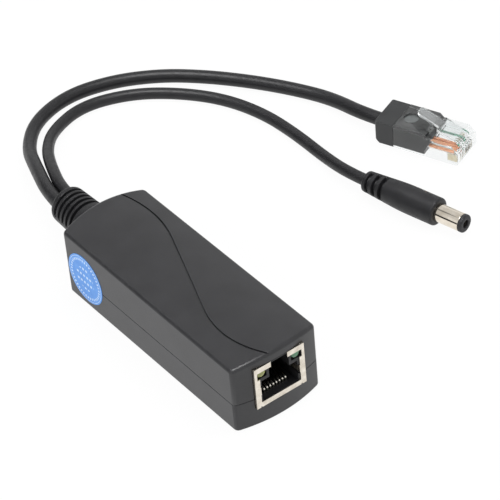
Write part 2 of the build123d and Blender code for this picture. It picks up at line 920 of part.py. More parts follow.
def inner_leads(offset, diameter, pads):
    """Insulated wires from the boot's inner face down to their pads on the board."""
    x0, z0 = cord_exit(offset)
    start = half_length - wall - flange_thickness
    leads = []
    for index, (x, y) in enumerate(pads):
        spread = (index - (len(pads) - 1) / 2) * (diameter + cord_spacing)
        route = [
            (x0 + spread, start, z0),
            (x0 + spread, start - lead_run, z0),
            (x, y, board_top + lead_drop),
            (x, y, board_top),
        ]
        leads.append(bent_wire(diameter / 2, route, lead_bend))
    return leads


def wire_x(pin):
    """Sideways place of a plug position, counted from 1 at the left."""
    return (pin - (contact_count + 1) / 2) * contact_pitch


def tongue_face(height):
    """Y of the tongue's sloping front at a height: its underside begins further back than its top."""
    return tongue_front + tongue_slope * (tongue_roof - height) / (tongue_roof - tongue_floor)


def network_plug():
    """Clear plug body in one piece with its latch, made around its own nose at the origin."""
    half = plug_width / 2
    ramp = plug_front_height - plug_nose_height
    body = side_slab([
        (plug_chin, 0), (plug_length, 0), (plug_length, plug_rear_height),
        (plug_step + plug_rear_height - plug_front_height, plug_rear_height),
        (plug_step, plug_front_height), (plug_chin + ramp * ramp_share, plug_front_height),
        (plug_chin, plug_nose_height), (0, plug_nose_height), (0, plug_chin),
    ], -half, half)
    trench = latch_width / 2 + latch_side_gap
    body -= block(-trench, trench, -wall, latch_shoulder + 2 * latch_side_gap, latch_floor, latch_top)
    latch = side_slab([
        (latch_root, latch_floor - wall / 2), (latch_root + latch_thickness, latch_floor - wall / 2),
        (latch_root + latch_thickness, latch_root_height - latch_thickness / 2),
        (latch_end, latch_top - latch_thickness), (latch_end, latch_top),
        (latch_root + latch_thickness / 2, latch_root_height + latch_thickness / 2),
        (latch_root, latch_root_height),
    ], -latch_width / 2, latch_width / 2)
    latch -= mirrored(block(
        latch_tail / 2, latch_width, latch_shoulder, latch_end + wall, latch_floor, latch_top + wall
    ))
    latch = fillet(latch.edges().filter_by(Axis.Z).group_by(Axis.Y)[-1], latch_end_round)
    body += latch
    inner_half = half - plug_wall
    body -= side_slab([
        (tongue_face(tongue_floor) - tongue_gap, tongue_floor), (plug_length + wall, tongue_floor),
        (plug_length + wall, tongue_roof), (tongue_face(tongue_roof) - tongue_gap, tongue_roof),
    ], -inner_half, inner_half)
    body -= block(
        -inner_half, inner_half, plug_step + plug_wall, plug_length + wall,
        tongue_floor, plug_rear_height - plug_wall,
    )
    for pin in (1, 2, 3, 6):
        x = wire_x(pin)
        bore_end = tongue_face(wire_level - wire_bore / 2)
        body -= rod(wire_bore / 2, (x, wire_front - tongue_gap, wire_level), (x, bore_end, wire_level))
    for pin in range(1, contact_count + 1):
        x = wire_x(pin)
        body -= block(
            x - blade_slot / 2, x + blade_slot / 2,
            blade_front - peg_gap, blade_front + blade_length + peg_gap,
            -wall, wire_level - wire_bore / 2 - blade_top_gap,
        )
    boss_floor = plug_rear_height - boss_depth
    return body - rod(boss_radius, (0, boss_place, boss_floor), (0, boss_place, plug_rear_height + wall))


def plug_block():
    """Black moulding behind and inside the clear body: grip block, tongue and cord socket."""
    half = plug_width / 2
    front = plug_length + tongue_gap
    behind = plug_length + block_length
    grip = side_slab([
        (front, 0), (behind - block_corner, 0), (behind, block_corner),
        (behind, plug_rear_height), (front, plug_rear_height),
    ], -half, half)
    grip = fillet(grip.edges().filter_by(Axis.Z).group_by(Axis.Y)[-1], plug_chin)
    inner_half = half - plug_wall - tongue_gap
    low = tongue_floor + tongue_gap
    high = tongue_roof - tongue_gap
    grip += side_slab([
        (tongue_face(low), low), (front + tongue_gap, low),
        (front + tongue_gap, high), (tongue_face(high), high),
    ], -inner_half, inner_half)
    grip += block(
        -inner_half, inner_half, plug_step + plug_wall + tongue_gap, front + tongue_gap,
        low, plug_rear_height - plug_wall - tongue_gap,
    )
    socket_start = (0, behind - plug_seat, cord_level)
    return grip - rod(ethernet_cord_diameter / 2 + cord_gap, socket_start, (0, behind + wall, cord_level))


def plug_wires(pins):
    """Coloured wires of the given positions, lying in their bores in front of the tongue."""
    wires = Part()
    wire_end = tongue_face(wire_level + wire_diameter / 2)
    for pin in pins:
        x = wire_x(pin)
        wires += rod(wire_diameter / 2, (x, wire_front, wire_level), (x, wire_end, wire_level))
    return wires


def plug_blades():
    """Eight gold-plated blades standing in their slots under the wires."""
    blades = Part()
    for pin in range(1, contact_count + 1):
        x = wire_x(pin)
        blades += block(
            x - blade_thickness / 2, x + blade_thickness / 2,
            blade_front, blade_front + blade_length,
            blade_lift, wire_level - wire_bore / 2 - 2 * blade_top_gap,
        )
    return blades


def power_plug():
    """Barrel plug around its own tip at the origin: barrel, insulator, centre sleeve and grip."""
    sleeve_radius = barrel_radius - barrel_wall - sleeve_gap
    seat_end = barrel_length + barrel_seat
    root_radius = barrel_radius - barrel_step
    step_place = barrel_length - barrel_step_gap
    barrel = turned([
        (barrel_radius - barrel_wall, tip_length), (barrel_radius, tip_length),
        (barrel_radius, step_place), (root_radius, step_place),
        (root_radius, seat_end), (barrel_radius - barrel_wall, seat_end),
    ])
    centre_radius = pin_bore_radius + centre_wall
    insulator = turned([
        (tip_hole_radius, 0), (barrel_radius - tip_edge, 0),
        (barrel_radius, tip_edge), (barrel_radius, tip_length),
        (sleeve_radius, tip_length), (sleeve_radius, seat_end),
        (centre_radius + sleeve_gap, seat_end), (centre_radius + sleeve_gap, centre_recess),
        (tip_hole_radius, centre_recess),
    ])
    centre = turned([
        (pin_bore_radius, centre_recess + sleeve_gap), (centre_radius, centre_recess + sleeve_gap),
        (centre_radius, seat_end), (pin_bore_radius, seat_end),
    ])
    end = barrel_length + grip_length
    profile = [
        (0, seat_end), (root_radius + sleeve_gap, seat_end), (root_radius + sleeve_gap, barrel_length),
        (grip_radius, barrel_length), (grip_radius, barrel_length + grip_straight),
        (grip_tail_radius, end), (0, end),
    ]
    grip = turned(profile)
    circles = grip.edges().filter_by(GeomType.CIRCLE)
    front_edge = circles.filter_by(lambda edge: abs(edge.radius - grip_radius) < 0.01).sort_by(Axis.Y)[0]
    grip = fillet(front_edge, grip_front_round)
    tail_edge = grip.edges().filter_by(GeomType.CIRCLE).sort_by(Axis.Y)[-1]
    grip = fillet(tail_edge, grip_tail_round)
    for index in range(grip_slot_count):
        middle = end - grip_slot_start - index * grip_slot_pitch
        reach = grip_radius + wall
        ring = turned([
            (grip_core_radius, middle - grip_slot_width / 2), (reach, middle - grip_slot_width / 2),
            (reach, middle + grip_slot_width / 2), (grip_core_radius, middle + grip_slot_width / 2),
        ])
        spine = block(-reach, reach, middle - wall, middle + wall, -grip_spine / 2, grip_spine / 2)
        grip -= Rot(0, -grip_spine_turn, 0) * (ring - spine)
    grip -= rod(dc_cord_diameter / 2 + cord_gap, (0, end - plug_seat, 0), (0, end + wall, 0))
    return barrel, insulator, centre, grip


def seal_disc():
    """Thin round seal stuck over the joint of the covers on the left side, up to the rear corner."""
    disc = rod(seal_radius, (-half_width - wall, seal_y, seal_z), (-half_width + wall, seal_y, seal_z))
    return disc & (round_cornered(seal_thickness) - round_cornered(0))


def build():
    """Every piece by its node name."""
    upper, lower = covers()
    core_halves, winding, bobbin, transformer_pins = power_transformer()
    drum, coil = drum_inductor()
    barrel, insulator, centre, grip = power_plug()
    data_pads = []
    for index in range(4):
        x = (index - 1.5) * data_pad_pitch - data_pad_x
        data_pads.append((x * width_share, board_rear - data_pad_inset - data_pad_stagger * (index % 2)))
    power_pads = []
    for side in (-1, 1):
        x = power_pad_x + side * power_pad_pitch / 2
        power_pads.append((x * width_share, board_rear - power_pad_inset))
    data_leads = inner_leads(ethernet_offset, lead_diameter, data_pads)
    power_leads = inner_leads(dc_offset, power_lead_diameter, power_pads)
    bridge = chip(bridge_width, bridge_length, bridge_height)
    output_can = can_capacitor(output_can_radius, output_can_height)
    ceramics = pair_of_blocks(0, ceramic_pitch, ceramic_width, ceramic_length, ceramic_height)
    resistors = pair_of_blocks(resistor_pitch, 0, resistor_width, resistor_length, resistor_height)
    nodes = {
        "upper_cover": upper,
        "lower_cover": lower,
        "circuit_board": circuit_board(),
        "jack_shield": jack_shield(),
        "jack_insert": jack_insert(),
        "jack_contacts": jack_contacts(),
        "left_indicator_lamp": lamp(-1),
        "right_indicator_lamp": lamp(1),
        "lamp_leads": lamp_leads(),
        "data_transformer": on_board(
            0, data_chip_y, chip(data_chip_width, data_chip_length, data_chip_height, data_chip_lift)
        ),
        "data_transformer_pins": on_board(
            0, data_chip_y, gull_wing_pins(data_chip_length / 2, data_chip_pins, 0)
        ),
        "bridge_rectifiers": on_board(-bridge_x, bridge_y, bridge) + on_board(bridge_x, bridge_y, bridge),
        "transformer_cores": core_halves,
        "transformer_winding": winding,
        "transformer_bobbin": bobbin,
        "transformer_pins": transformer_pins,
        "power_controller": on_board(
            controller_x, controller_y,
            chip(controller_width, controller_length, controller_height, controller_lift),
        ),
        "power_controller_pins": on_board(
            controller_x, controller_y, gull_wing_pins(controller_width / 2, controller_pins, 1)
        ),
        "switching_transistor": on_board(
            switch_x, switch_y, chip(switch_width, switch_length, switch_height)
        ),
        "input_capacitor": on_board(
            -input_can_x, input_can_y, can_capacitor(input_can_radius, input_can_height)
        ),
        "output_capacitors": on_board(-output_can_x, output_can_y, output_can)
        + on_board(output_can_pitch - output_can_x, output_can_y, output_can),
        "inductor_drum": drum,
        "inductor_coil": coil,
        "output_diode": on_board(diode_x, diode_y, chip(diode_width, diode_length, diode_height)),
        "feedback_coupler": on_board(
            coupler_x, coupler_y, chip(coupler_width, coupler_length, coupler_height)
        ),
        "ceramic_capacitors": on_board(-ceramic_left_x, ceramic_left_y, ceramics)
        + on_board(ceramic_right_x, ceramic_right_y, ceramics),
        "chip_resistors": on_board(resistor_front_x, resistor_front_y, resistors)
        + on_board(-resistor_rear_x, resistor_rear_y, resistors),
        "rear_boot": rear_boot(),
        "ethernet_cord": ethernet_cord(),
        "dc_cord": dc_cord(),
        "orange_data_leads": Part() + data_leads[0] + data_leads[1],
        "green_data_leads": Part() + data_leads[2] + data_leads[3],
        "positive_power_lead": power_leads[0],
        "negative_power_lead": power_leads[1],
        "network_plug_body": network_plug_place * network_plug(),
        "network_plug_block": network_plug_place * plug_block(),
        "orange_plug_wires": network_plug_place * plug_wires((1, 2)),
        "green_plug_wires": network_plug_place * plug_wires((3, 6)),
        "plug_blades": network_plug_place * plug_blades(),
        "power_plug_barrel": power_plug_place * barrel,
        "power_plug_insulator": power_plug_place * insulator,
        "power_plug_centre": power_plug_place * centre,
        "power_plug_grip": power_plug_place * grip,
        "seal_disc": seal_disc(),
    }
    return nodes


os.makedirs("parts", exist_ok=True)
for node, solid in build().items():
    export_step(solid, f"parts/{node}.step")
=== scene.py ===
"""Looks of the inline power-over-Ethernet splitter.

Metres, in the frame of the solid model: X across the housing, Y from the network jack to the cords,
Z up, the origin at the centre of the housing's base. Sizes written in millimetres are multiplied by
MM. A new piece is a surface worked out on a grid of two parameters, or a finished copy of a solid.
"""

from math import cos, pi, radians, sin

import bmesh
import bpy
import numpy as np
from mathutils import Matrix, Vector


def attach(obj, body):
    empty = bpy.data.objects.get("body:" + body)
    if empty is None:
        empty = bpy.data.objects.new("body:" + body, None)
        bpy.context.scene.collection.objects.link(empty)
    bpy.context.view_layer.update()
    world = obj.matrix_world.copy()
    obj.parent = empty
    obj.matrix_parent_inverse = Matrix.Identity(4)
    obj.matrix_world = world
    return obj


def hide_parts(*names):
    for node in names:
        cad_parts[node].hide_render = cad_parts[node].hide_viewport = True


MM = 0.001
hairline = 0.01

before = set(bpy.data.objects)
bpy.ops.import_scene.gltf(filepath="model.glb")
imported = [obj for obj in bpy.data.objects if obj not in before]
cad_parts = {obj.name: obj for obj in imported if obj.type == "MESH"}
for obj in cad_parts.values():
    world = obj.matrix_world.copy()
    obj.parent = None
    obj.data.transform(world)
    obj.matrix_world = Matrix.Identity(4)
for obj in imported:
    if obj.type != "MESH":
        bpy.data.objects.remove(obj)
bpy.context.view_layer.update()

# Housing
half_width = 14.1
half_length = 40.85
side_height = 21.6
crown_rise = 1.7
groove_depth = 0.45
front_bow = 2.3
rear_bow = 2.1
wall = 2.0
corner_round = 1.6
cover_edge = 0.06

# Rear boot
boot_height = 11.85
boot_end = 58.85
boot_root_radius = 6.35
boot_end_radius = 5.7
boot_end_round = 1.5
boot_tilt = radians(22.0)
flange_radius = 6.6
flange_front = 37.05
neck_radius = 5.2
boot_core_radius = 4.5
boot_spine = 3.9
boot_slots = 5
boot_slot_width = 0.95
boot_slot_pitch = 2.0
boot_slot_start = 2.65
boot_sag_reach = 4.0

# Power plug, around its own tip
power_plug_tip = (83.7, -18.3, 4.2)
power_plug_turn = radians(13.83)
barrel_radius = 2.75
barrel_bore = 2.4
barrel_length = 9.5
barrel_step = 0.2
barrel_step_gap = 0.1
barrel_end = 13.0
tip_length = 1.3
tip_hole_radius = 1.25
centre_bore = 1.05
centre_radius = 1.35
centre_recess = 0.8
sleeve_gap = 0.05
grip_radius = 4.2
grip_tail_radius = 3.15
grip_taper_start = 21.5
grip_end = 35.1
grip_core_radius = 2.3
grip_spine = 1.5
grip_spine_turn = radians(60.0)
grip_slots = 3
grip_slot_width = 1.2
grip_slot_pitch = 2.5
grip_slot_start = 2.0
grip_core_lap = 0.25
power_socket_radius = 1.85
plug_seat = 3.0

# Network plug, around its own nose
network_plug_nose = (107.8, 9.2, 0.0)
network_plug_turn = radians(22.26)
plug_wire_radius = 0.505
plug_wire_level = 3.5
plug_wire_front = 1.8
plug_wire_rear = 10.11
contacts = 8
contact_pitch = 1.02
plug_length = 21.4
plug_half_width = 5.84
tongue_growth = 0.09
tongue_margin = 0.1
boss_radius = 2.3
boss_place = 18.2
boss_level = 7.05
mark_inset = 0.1
mark_lift = 0.01
mark_thickness = 0.08
latch_bend = (8.0, 10.5)

# Lamps
lamp_radius = 1.45
lamp_spacing = 11.4
lamp_nose = -40.45
lamp_length = 7.5
lamp_nose_round = 0.6
lamp_height = 17.65

# Seal
seal_radius = 8.0
seal_thickness = 0.1
seal_y = 29.5
seal_z = 10.1
seal_edge = 0.05
seal_back = 0.005
seal_dashes = 38
seal_dash_ring = (6.1, 6.85)
seal_rim = (7.4, 7.55)
seal_bars_reach = 4.0
seal_row_pitch = 2.4
seal_row_band = (0.3, 0.62)
seal_bar_pitch = 1.5
seal_bar_share = 0.55

# Points round each turned surface, and how far apart they lie along the two slotted ones
boot_around = 176
boot_spacing = 0.1
grip_around = 144
grip_spacing = 0.12
barrel_around = 96
contact_around = 64
lamp_around = 64
mark_around = 64
wire_around = 32
seal_around = 160

# Cords: the points that each one follows, from inside the boot to inside its plug
ethernet_cord_diameter = 4.2
ethernet_cord_points = [
    (-1.895, 52.85, 11.717), (-1.895, 63.85, 11.717), (5.0, 82.5, 8.1), (11.0, 96.5, 3.6),
    (21.0, 107.5, 2.1), (35.5, 111.5, 2.1), (50.0, 108.0, 2.1), (62.5, 100.5, 2.1),
    (72.0, 91.0, 2.1), (80.5, 80.0, 2.1), (88.0, 68.0, 2.1), (94.0, 55.5, 2.1),
    (95.11, 40.2, 3.9), (98.52, 31.87, 3.9),
]
dc_cord_diameter = 3.6
dc_cord_points = [
    (2.195, 52.85, 12.003), (2.195, 63.85, 12.003), (7.9, 78.5, 9.0), (14.0, 90.5, 5.2),
    (22.5, 100.0, 2.3), (36.0, 104.5, 1.8), (50.5, 99.5, 1.8), (61.5, 90.0, 1.8),
    (70.0, 78.0, 1.8), (74.5, 64.0, 1.8), (75.5, 49.5, 1.8), (75.0, 34.5, 1.8),
    (73.88, 21.61, 4.2), (76.03, 12.87, 4.2),
]

# Camera, as the photograph was taken
camera_place = (-316.94, -499.87, 529.99)
camera_right = (0.7905, -0.6083, -0.0711)
camera_up = (0.438, 0.4804, 0.7599)
camera_back = (-0.4281, -0.6318, 0.6462)
camera_lens = 207.48
camera_sensor = 36.0

# Light on the object. A span is where a change begins and ends: in the height of a direction, or
# in the cosine of its angle to the named one. A lamp has its name, place, size and power.
sky_direction = (0.5, -0.87, 0.0)
sky_dark = 0.2
sky_bright = 0.88
sky_span = (-0.92, -0.6)
overhead_dim = 0.8
overhead_span = (0.45, 0.72)
horizon_bright = 0.8
horizon_span = (0.02, 0.25)
panel_direction = (-0.17, 0.0, 0.985)
panel_strength = 13.0
panel_span = (0.955, 0.985)
seam_direction = (-0.307, 0.451, 0.838)
seam_dark = 0.4
overhead_seam_span = (0.985, 0.996)
horizon_seam_span = (0.1, 0.18)
lamps = [
    ("over_lamp", (0.15, 0.0, 0.9), 0.7, 4.6),
    ("left_lamp", (-0.88, -0.06, 0.4), 0.6, 6.1),
    ("right_lamp", (0.8, -0.3, 0.5), 0.5, 2.5),
]
floor_reach = 4.0
floor_grey = 0.86
floor_white_share = 0.94


def linear(hex_colour):
    """Linear light of a colour written as its six hex digits."""
    values = [int(hex_colour[i:i + 2], 16) / 255 for i in (0, 2, 4)]
    return [v / 12.92 if v <= 0.04045 else ((v + 0.055) / 1.055) ** 2.4 for v in values] + [1.0]


def make_camera():
    """Camera turned by its own right, up and back directions."""
    data = bpy.data.cameras.new("photo_camera")
    data.lens = camera_lens
    data.sensor_width = camera_sensor
    data.clip_end = 20.0
    camera = bpy.data.objects.new("photo_camera", data)
    bpy.context.scene.collection.objects.link(camera)
    turn = Matrix((camera_right, camera_up, camera_back)).transposed().to_4x4()
    camera.matrix_world = Matrix.Translation([v * MM for v in camera_place]) @ turn
    bpy.context.scene.camera = camera


class Finish:
    """A node material around one Principled shader, built up by small named steps."""

    def __init__(self, name, colour, roughness, **sockets):
        self.material = bpy.data.materials.new(name)
        self.material.use_nodes = True
        self.tree = self.material.node_tree
        self.shader = self.tree.nodes["Principled BSDF"]
        self.shader.inputs["Base Color"].default_value = linear(colour)
        self.shader.inputs["Roughness"].default_value = roughness
        for socket, value in sockets.items():
            self.shader.inputs[socket.replace("_", " ")].default_value = value
        self.height = None
        self.places = {}

    def node(self, kind, **values):
        """New node with its inputs or settings filled in."""
        made = self.tree.nodes.new(kind)
        for key, value in values.items():
            if key in made.inputs:
                made.inputs[key].default_value = value
            else:
                setattr(made, key, value)
        return made

    def link(self, source, target):
        self.tree.links.new(source, target)

    def place(self, stretch=(1, 1, 1), turn=0.0, centre=(0, 0, 0), source="Object"):
        """Coordinates of the point, moved to a centre, turned about Z and stretched."""
        key = (stretch, turn, centre, source)
        if key not in self.places:
            coordinates = self.node("ShaderNodeTexCoord")
            moved = self.node("ShaderNodeMapping")
            moved.vector_type = "TEXTURE"
            moved.inputs["Location"].default_value = centre
            moved.inputs["Rotation"].default_value = (0, 0, turn)
            moved.inputs["Scale"].default_value = [1 / value for value in stretch]
            self.link(coordinates.outputs[source], moved.inputs["Vector"])
            self.places[key] = moved.outputs["Vector"]
        return self.places[key]

    def noise(self, size, detail=2.0, rough=0.5, **place):
        """Soft random pattern whose blots are about the size in millimetres."""
        made = self.node("ShaderNodeTexNoise", Scale=1 / (size * MM), Detail=detail, Roughness=rough)
        self.link(self.place(**place), made.inputs["Vector"])
        return made.outputs["Fac"]

    def spread(self, source, low, high, start=0.3, end=0.7):
        """Source from start to end spread over low to high."""
        made = self.node("ShaderNodeMapRange")
        made.inputs["From Min"].default_value = start
        made.inputs["From Max"].default_value = end
        made.inputs["To Min"].default_value = low
        made.inputs["To Max"].default_value = high
        self.link(source, made.inputs["Value"])
        return made.outputs["Result"]

    def between(self, source, first, second, start=0.3, end=0.7):
        """Colour that goes from the first to the second as the source goes from start to end."""
        made = self.node("ShaderNodeValToRGB")
        made.color_ramp.elements[0].position = start
        made.color_ramp.elements[0].color = linear(first)
        made.color_ramp.elements[1].position = end
        made.color_ramp.elements[1].color = linear(second)
        self.link(source, made.inputs["Fac"])
        return made.outputs["Color"]

    def paint(self, colour):
        self.link(colour, self.shader.inputs["Base Color"])
        return self

    def gloss(self, roughness):
        self.link(roughness, self.shader.inputs["Roughness"])
        return self

    def relief(self, source, depth, strength=1.0):
        """Adds a bump of the depth in millimetres on top of those already there."""
        made = self.node("ShaderNodeBump", Distance=depth * MM, Strength=strength)
        self.link(source, made.inputs["Height"])
        if self.height is not None:
            self.link(self.height, made.inputs["Normal"])
        self.height = made.outputs["Normal"]
        self.link(self.height, self.shader.inputs["Normal"])
        return self


def moulded_plastic(name, dark, light, roughness, grain_size, grain_depth):
    """Moulded thermoplastic: faint cloudiness, an even spark texture and slightly wavy faces."""
    finish = Finish(name, dark, roughness)
    finish.paint(finish.between(finish.noise(7.0, 3), dark, light))
    grain = finish.noise(grain_size, 2, 0.6)
    finish.gloss(finish.spread(grain, roughness - 0.05, roughness + 0.06))
    finish.relief(finish.noise(11.0, 1), 0.02, 0.5)
    finish.relief(grain, grain_depth)
    return finish.material


def soft_vinyl(name, dark, light, roughness):
    """Soft black vinyl: satin, with faint blooming and fine flow marks."""
    finish = Finish(name, dark, roughness, Specular_IOR_Level=0.4)
    finish.paint(finish.between(finish.noise(3.0, 4), dark, light))
    finish.gloss(finish.spread(finish.noise(1.2, 3), roughness - 0.06, roughness + 0.08))
    finish.relief(finish.noise(0.35, 2), 0.006, 0.7)
    finish.relief(finish.noise(2.5, 2), 0.02, 0.5)
    return finish.material


def clear_moulding():
    """Clear polycarbonate with the faint waviness of a cheap moulding, milky where the latch bends."""
    finish = Finish("clear_moulding", "eef1f1", 0.04, IOR=1.55, Transmission_Weight=1.0)
    finish.gloss(finish.spread(finish.noise(1.5, 3), 0.03, 0.14))
    parts = finish.node("ShaderNodeSeparateXYZ")
    finish.link(finish.place(), parts.inputs["Vector"])
    latch_veil = finish.spread(parts.outputs["Z"], 0.99, 0.86, *[level * MM for level in latch_bend])
    finish.link(latch_veil, finish.shader.inputs["Transmission Weight"])
    finish.relief(finish.noise(2.2, 2), 0.03, 0.6)
    return finish.material


def frosted_mark():
    """Frosted round mark on the clear plug."""
    finish = Finish("frosted_mark", "5d6161", 0.55)
    finish.paint(finish.between(finish.noise(0.8, 3), "545757", "666a6a"))
    finish.relief(finish.noise(0.2, 2), 0.01)
    return finish.material


def tinned_sheet():
    """Tinned sheet of the jack's shield: warm, softly bright, with rolling streaks and smudges."""
    finish = Finish("tinned_sheet", "ded6c9", 0.3, Metallic=1.0)
    finish.paint(finish.between(finish.noise(1.8, 4), "cfc6b8", "efe8dc"))
    streaks = finish.noise(0.25, 3, stretch=(0.12, 1, 1))
    finish.gloss(finish.spread(streaks, 0.2, 0.4))
    finish.relief(streaks, 0.004)
    finish.relief(finish.noise(2.4, 2), 0.02, 0.5)
    return finish.material


def plated_barrel():
    """Nickel-plated turned barrel: rings from the tool, a warm tint and finger smudges."""
    finish = Finish("plated_barrel", "e6dccc", 0.16, Metallic=1.0)
    finish.paint(finish.between(finish.noise(2.5, 4), "dad0c0", "f2eadd"))
    rings = finish.noise(0.2, 2, source="UV", stretch=(0.0006, 1, 1))
    finish.gloss(finish.spread(finish.noise(1.6, 3), 0.05, 0.12))
    finish.relief(rings, 0.0006)
    return finish.material


def gold_flash():
    """Pale gold flash over nickel, thin and a little uneven."""
    finish = Finish("gold_flash", "f6e8c8", 0.4, Metallic=1.0)
    finish.paint(finish.between(finish.noise(0.6, 3), "efdcb4", "fff3da"))
    finish.gloss(finish.spread(finish.noise(0.3, 2), 0.34, 0.5))
    return finish.material


def gold_with_painted_glint():
    """Gold of the jack's contacts with painted light: a painted highlight at the front bend and painted
    shade further in.
    """
    finish = Finish("gold_with_painted_glint", "746a52", 0.2, Metallic=1.0)
    parts = finish.node("ShaderNodeSeparateXYZ")
    finish.link(finish.place(), parts.inputs["Vector"])
    # Painted highlight and painted shade: the colour is pale where the contacts bend at the front and
    # dark further in along Y.
    depth = finish.spread(parts.outputs["Y"], 0.0, 1.0, -37.6 * MM, -36.6 * MM)
    finish.paint(finish.between(depth, "f0ebdf", "4a4334", 0.0, 1.0))
    finish.gloss(finish.spread(finish.noise(0.3, 2), 0.1, 0.22))
    return finish.material


def dark_nickel():
    """Worn nickel inside the power plug's tip."""
    finish = Finish("dark_nickel", "57524a", 0.3, Metallic=1.0)
    finish.paint(finish.between(finish.noise(0.5, 3), "4a463f", "655f55"))
    finish.gloss(finish.spread(finish.noise(0.3, 2), 0.24, 0.4))
    return finish.material


def tinned_wire():
    """Bright tinned wire and legs."""
    finish = Finish("tinned_wire", "cfcfcc", 0.3, Metallic=1.0)
    finish.gloss(finish.spread(finish.noise(0.4, 2), 0.22, 0.42))
    finish.relief(finish.noise(0.3, 2), 0.004)
    return finish.material


def lamp_lens(name, dark, light):
    """Tinted epoxy lens, unlit: deeper at the middle, clear at the skin."""
    finish = Finish(name, light, 0.16, Transmission_Weight=0.35, IOR=1.5, Coat_Weight=0.6)
    finish.paint(finish.between(finish.noise(1.0, 2), dark, light))
    finish.relief(finish.noise(0.7, 1), 0.01, 0.5)
    return finish.material


def wire_skin(name, colour, stripe):
    """Coloured wire insulation with a stripe of a second colour along one side."""
    finish = Finish(name, colour, 0.32)
    around = finish.node("ShaderNodeSeparateXYZ")
    finish.link(finish.place(source="UV"), around.inputs["Vector"])
    finish.paint(finish.between(around.outputs["X"], colour, stripe, 0.48, 0.52))
    finish.relief(finish.noise(0.6, 2), 0.01, 0.6)
    return finish.material


def lead_skin(name, dark, light):
    """Plain insulation of an inner lead."""
    finish = Finish(name, light, 0.35)
    finish.paint(finish.between(finish.noise(1.5, 2), dark, light))
    finish.relief(finish.noise(0.5, 2), 0.01, 0.6)
    return finish.material


def solder_mask():
    """Green circuit board: copper runs showing faintly under the mask."""
    finish = Finish("solder_mask", "155c33", 0.35)
    runs = finish.node("ShaderNodeTexBrick", Scale=1 / (4.5 * MM))
    runs.inputs["Color1"].default_value = linear("14532f")
    runs.inputs["Color2"].default_value = linear("1b6a3c")
    runs.inputs["Mortar"].default_value = linear("2c8450")
    runs.inputs["Mortar Size"].default_value = 0.05
    finish.link(finish.place(), runs.inputs["Vector"])
    finish.paint(runs.outputs["Color"])
    finish.relief(runs.outputs["Fac"], 0.03)
    finish.gloss(finish.spread(finish.noise(2.0, 2), 0.28, 0.44))
    return finish.material


def chip_resin():
    """Matt epoxy of a moulded chip."""
    finish = Finish("chip_resin", "1c1c1e", 0.6)
    finish.paint(finish.between(finish.noise(0.8, 3), "18181a", "252528"))
    finish.relief(finish.noise(0.12, 2), 0.006)
    return finish.material


def ferrite():
    """Dark sintered ferrite, ground but porous."""
    finish = Finish("ferrite", "2f2f31", 0.7)
    finish.paint(finish.between(finish.noise(0.5, 4), "262628", "3a3a3d"))
    finish.relief(finish.noise(0.18, 4), 0.015)
    return finish.material


def wrapping_tape():
    """Yellow tape round a winding, its edge showing at each turn."""
    finish = Finish("wrapping_tape", "d9a52b", 0.28)
    turns = finish.node("ShaderNodeTexWave", Scale=1 / (3.0 * MM), Distortion=0.6)
    turns.bands_direction = "Z"
    finish.link(finish.place(), turns.inputs["Vector"])
    finish.paint(finish.between(turns.outputs["Fac"], "bf8d1e", "e3b238"))
    finish.relief(turns.outputs["Fac"], 0.03)
    return finish.material


def wound_copper():
    """Enamelled copper wire, turn beside turn."""
    finish = Finish("wound_copper", "b4602c", 0.25, Metallic=1.0)
    turns = finish.node("ShaderNodeTexWave", Scale=1 / (1.2 * MM))
    turns.bands_direction = "Z"
    finish.link(finish.place(), turns.inputs["Vector"])
    finish.paint(finish.between(turns.outputs["Fac"], "7c3b18", "c87138"))
    finish.relief(turns.outputs["Fac"], 0.1)
    return finish.material


def shrink_sleeve():
    """Dark shrink sleeve of a capacitor."""
    finish = Finish("shrink_sleeve", "20242e", 0.3)
    finish.paint(finish.between(finish.noise(2.0, 2), "1c2029", "2a303c"))
    finish.relief(finish.noise(1.0, 2), 0.02, 0.6)
    return finish.material


def pale_moulding(name, dark, light, roughness):
    """Pale moulded or sintered body of a small part."""
    finish = Finish(name, light, roughness)
    finish.paint(finish.between(finish.noise(0.5, 3), dark, light))
    finish.relief(finish.noise(0.2, 2), 0.006)
    return finish.material


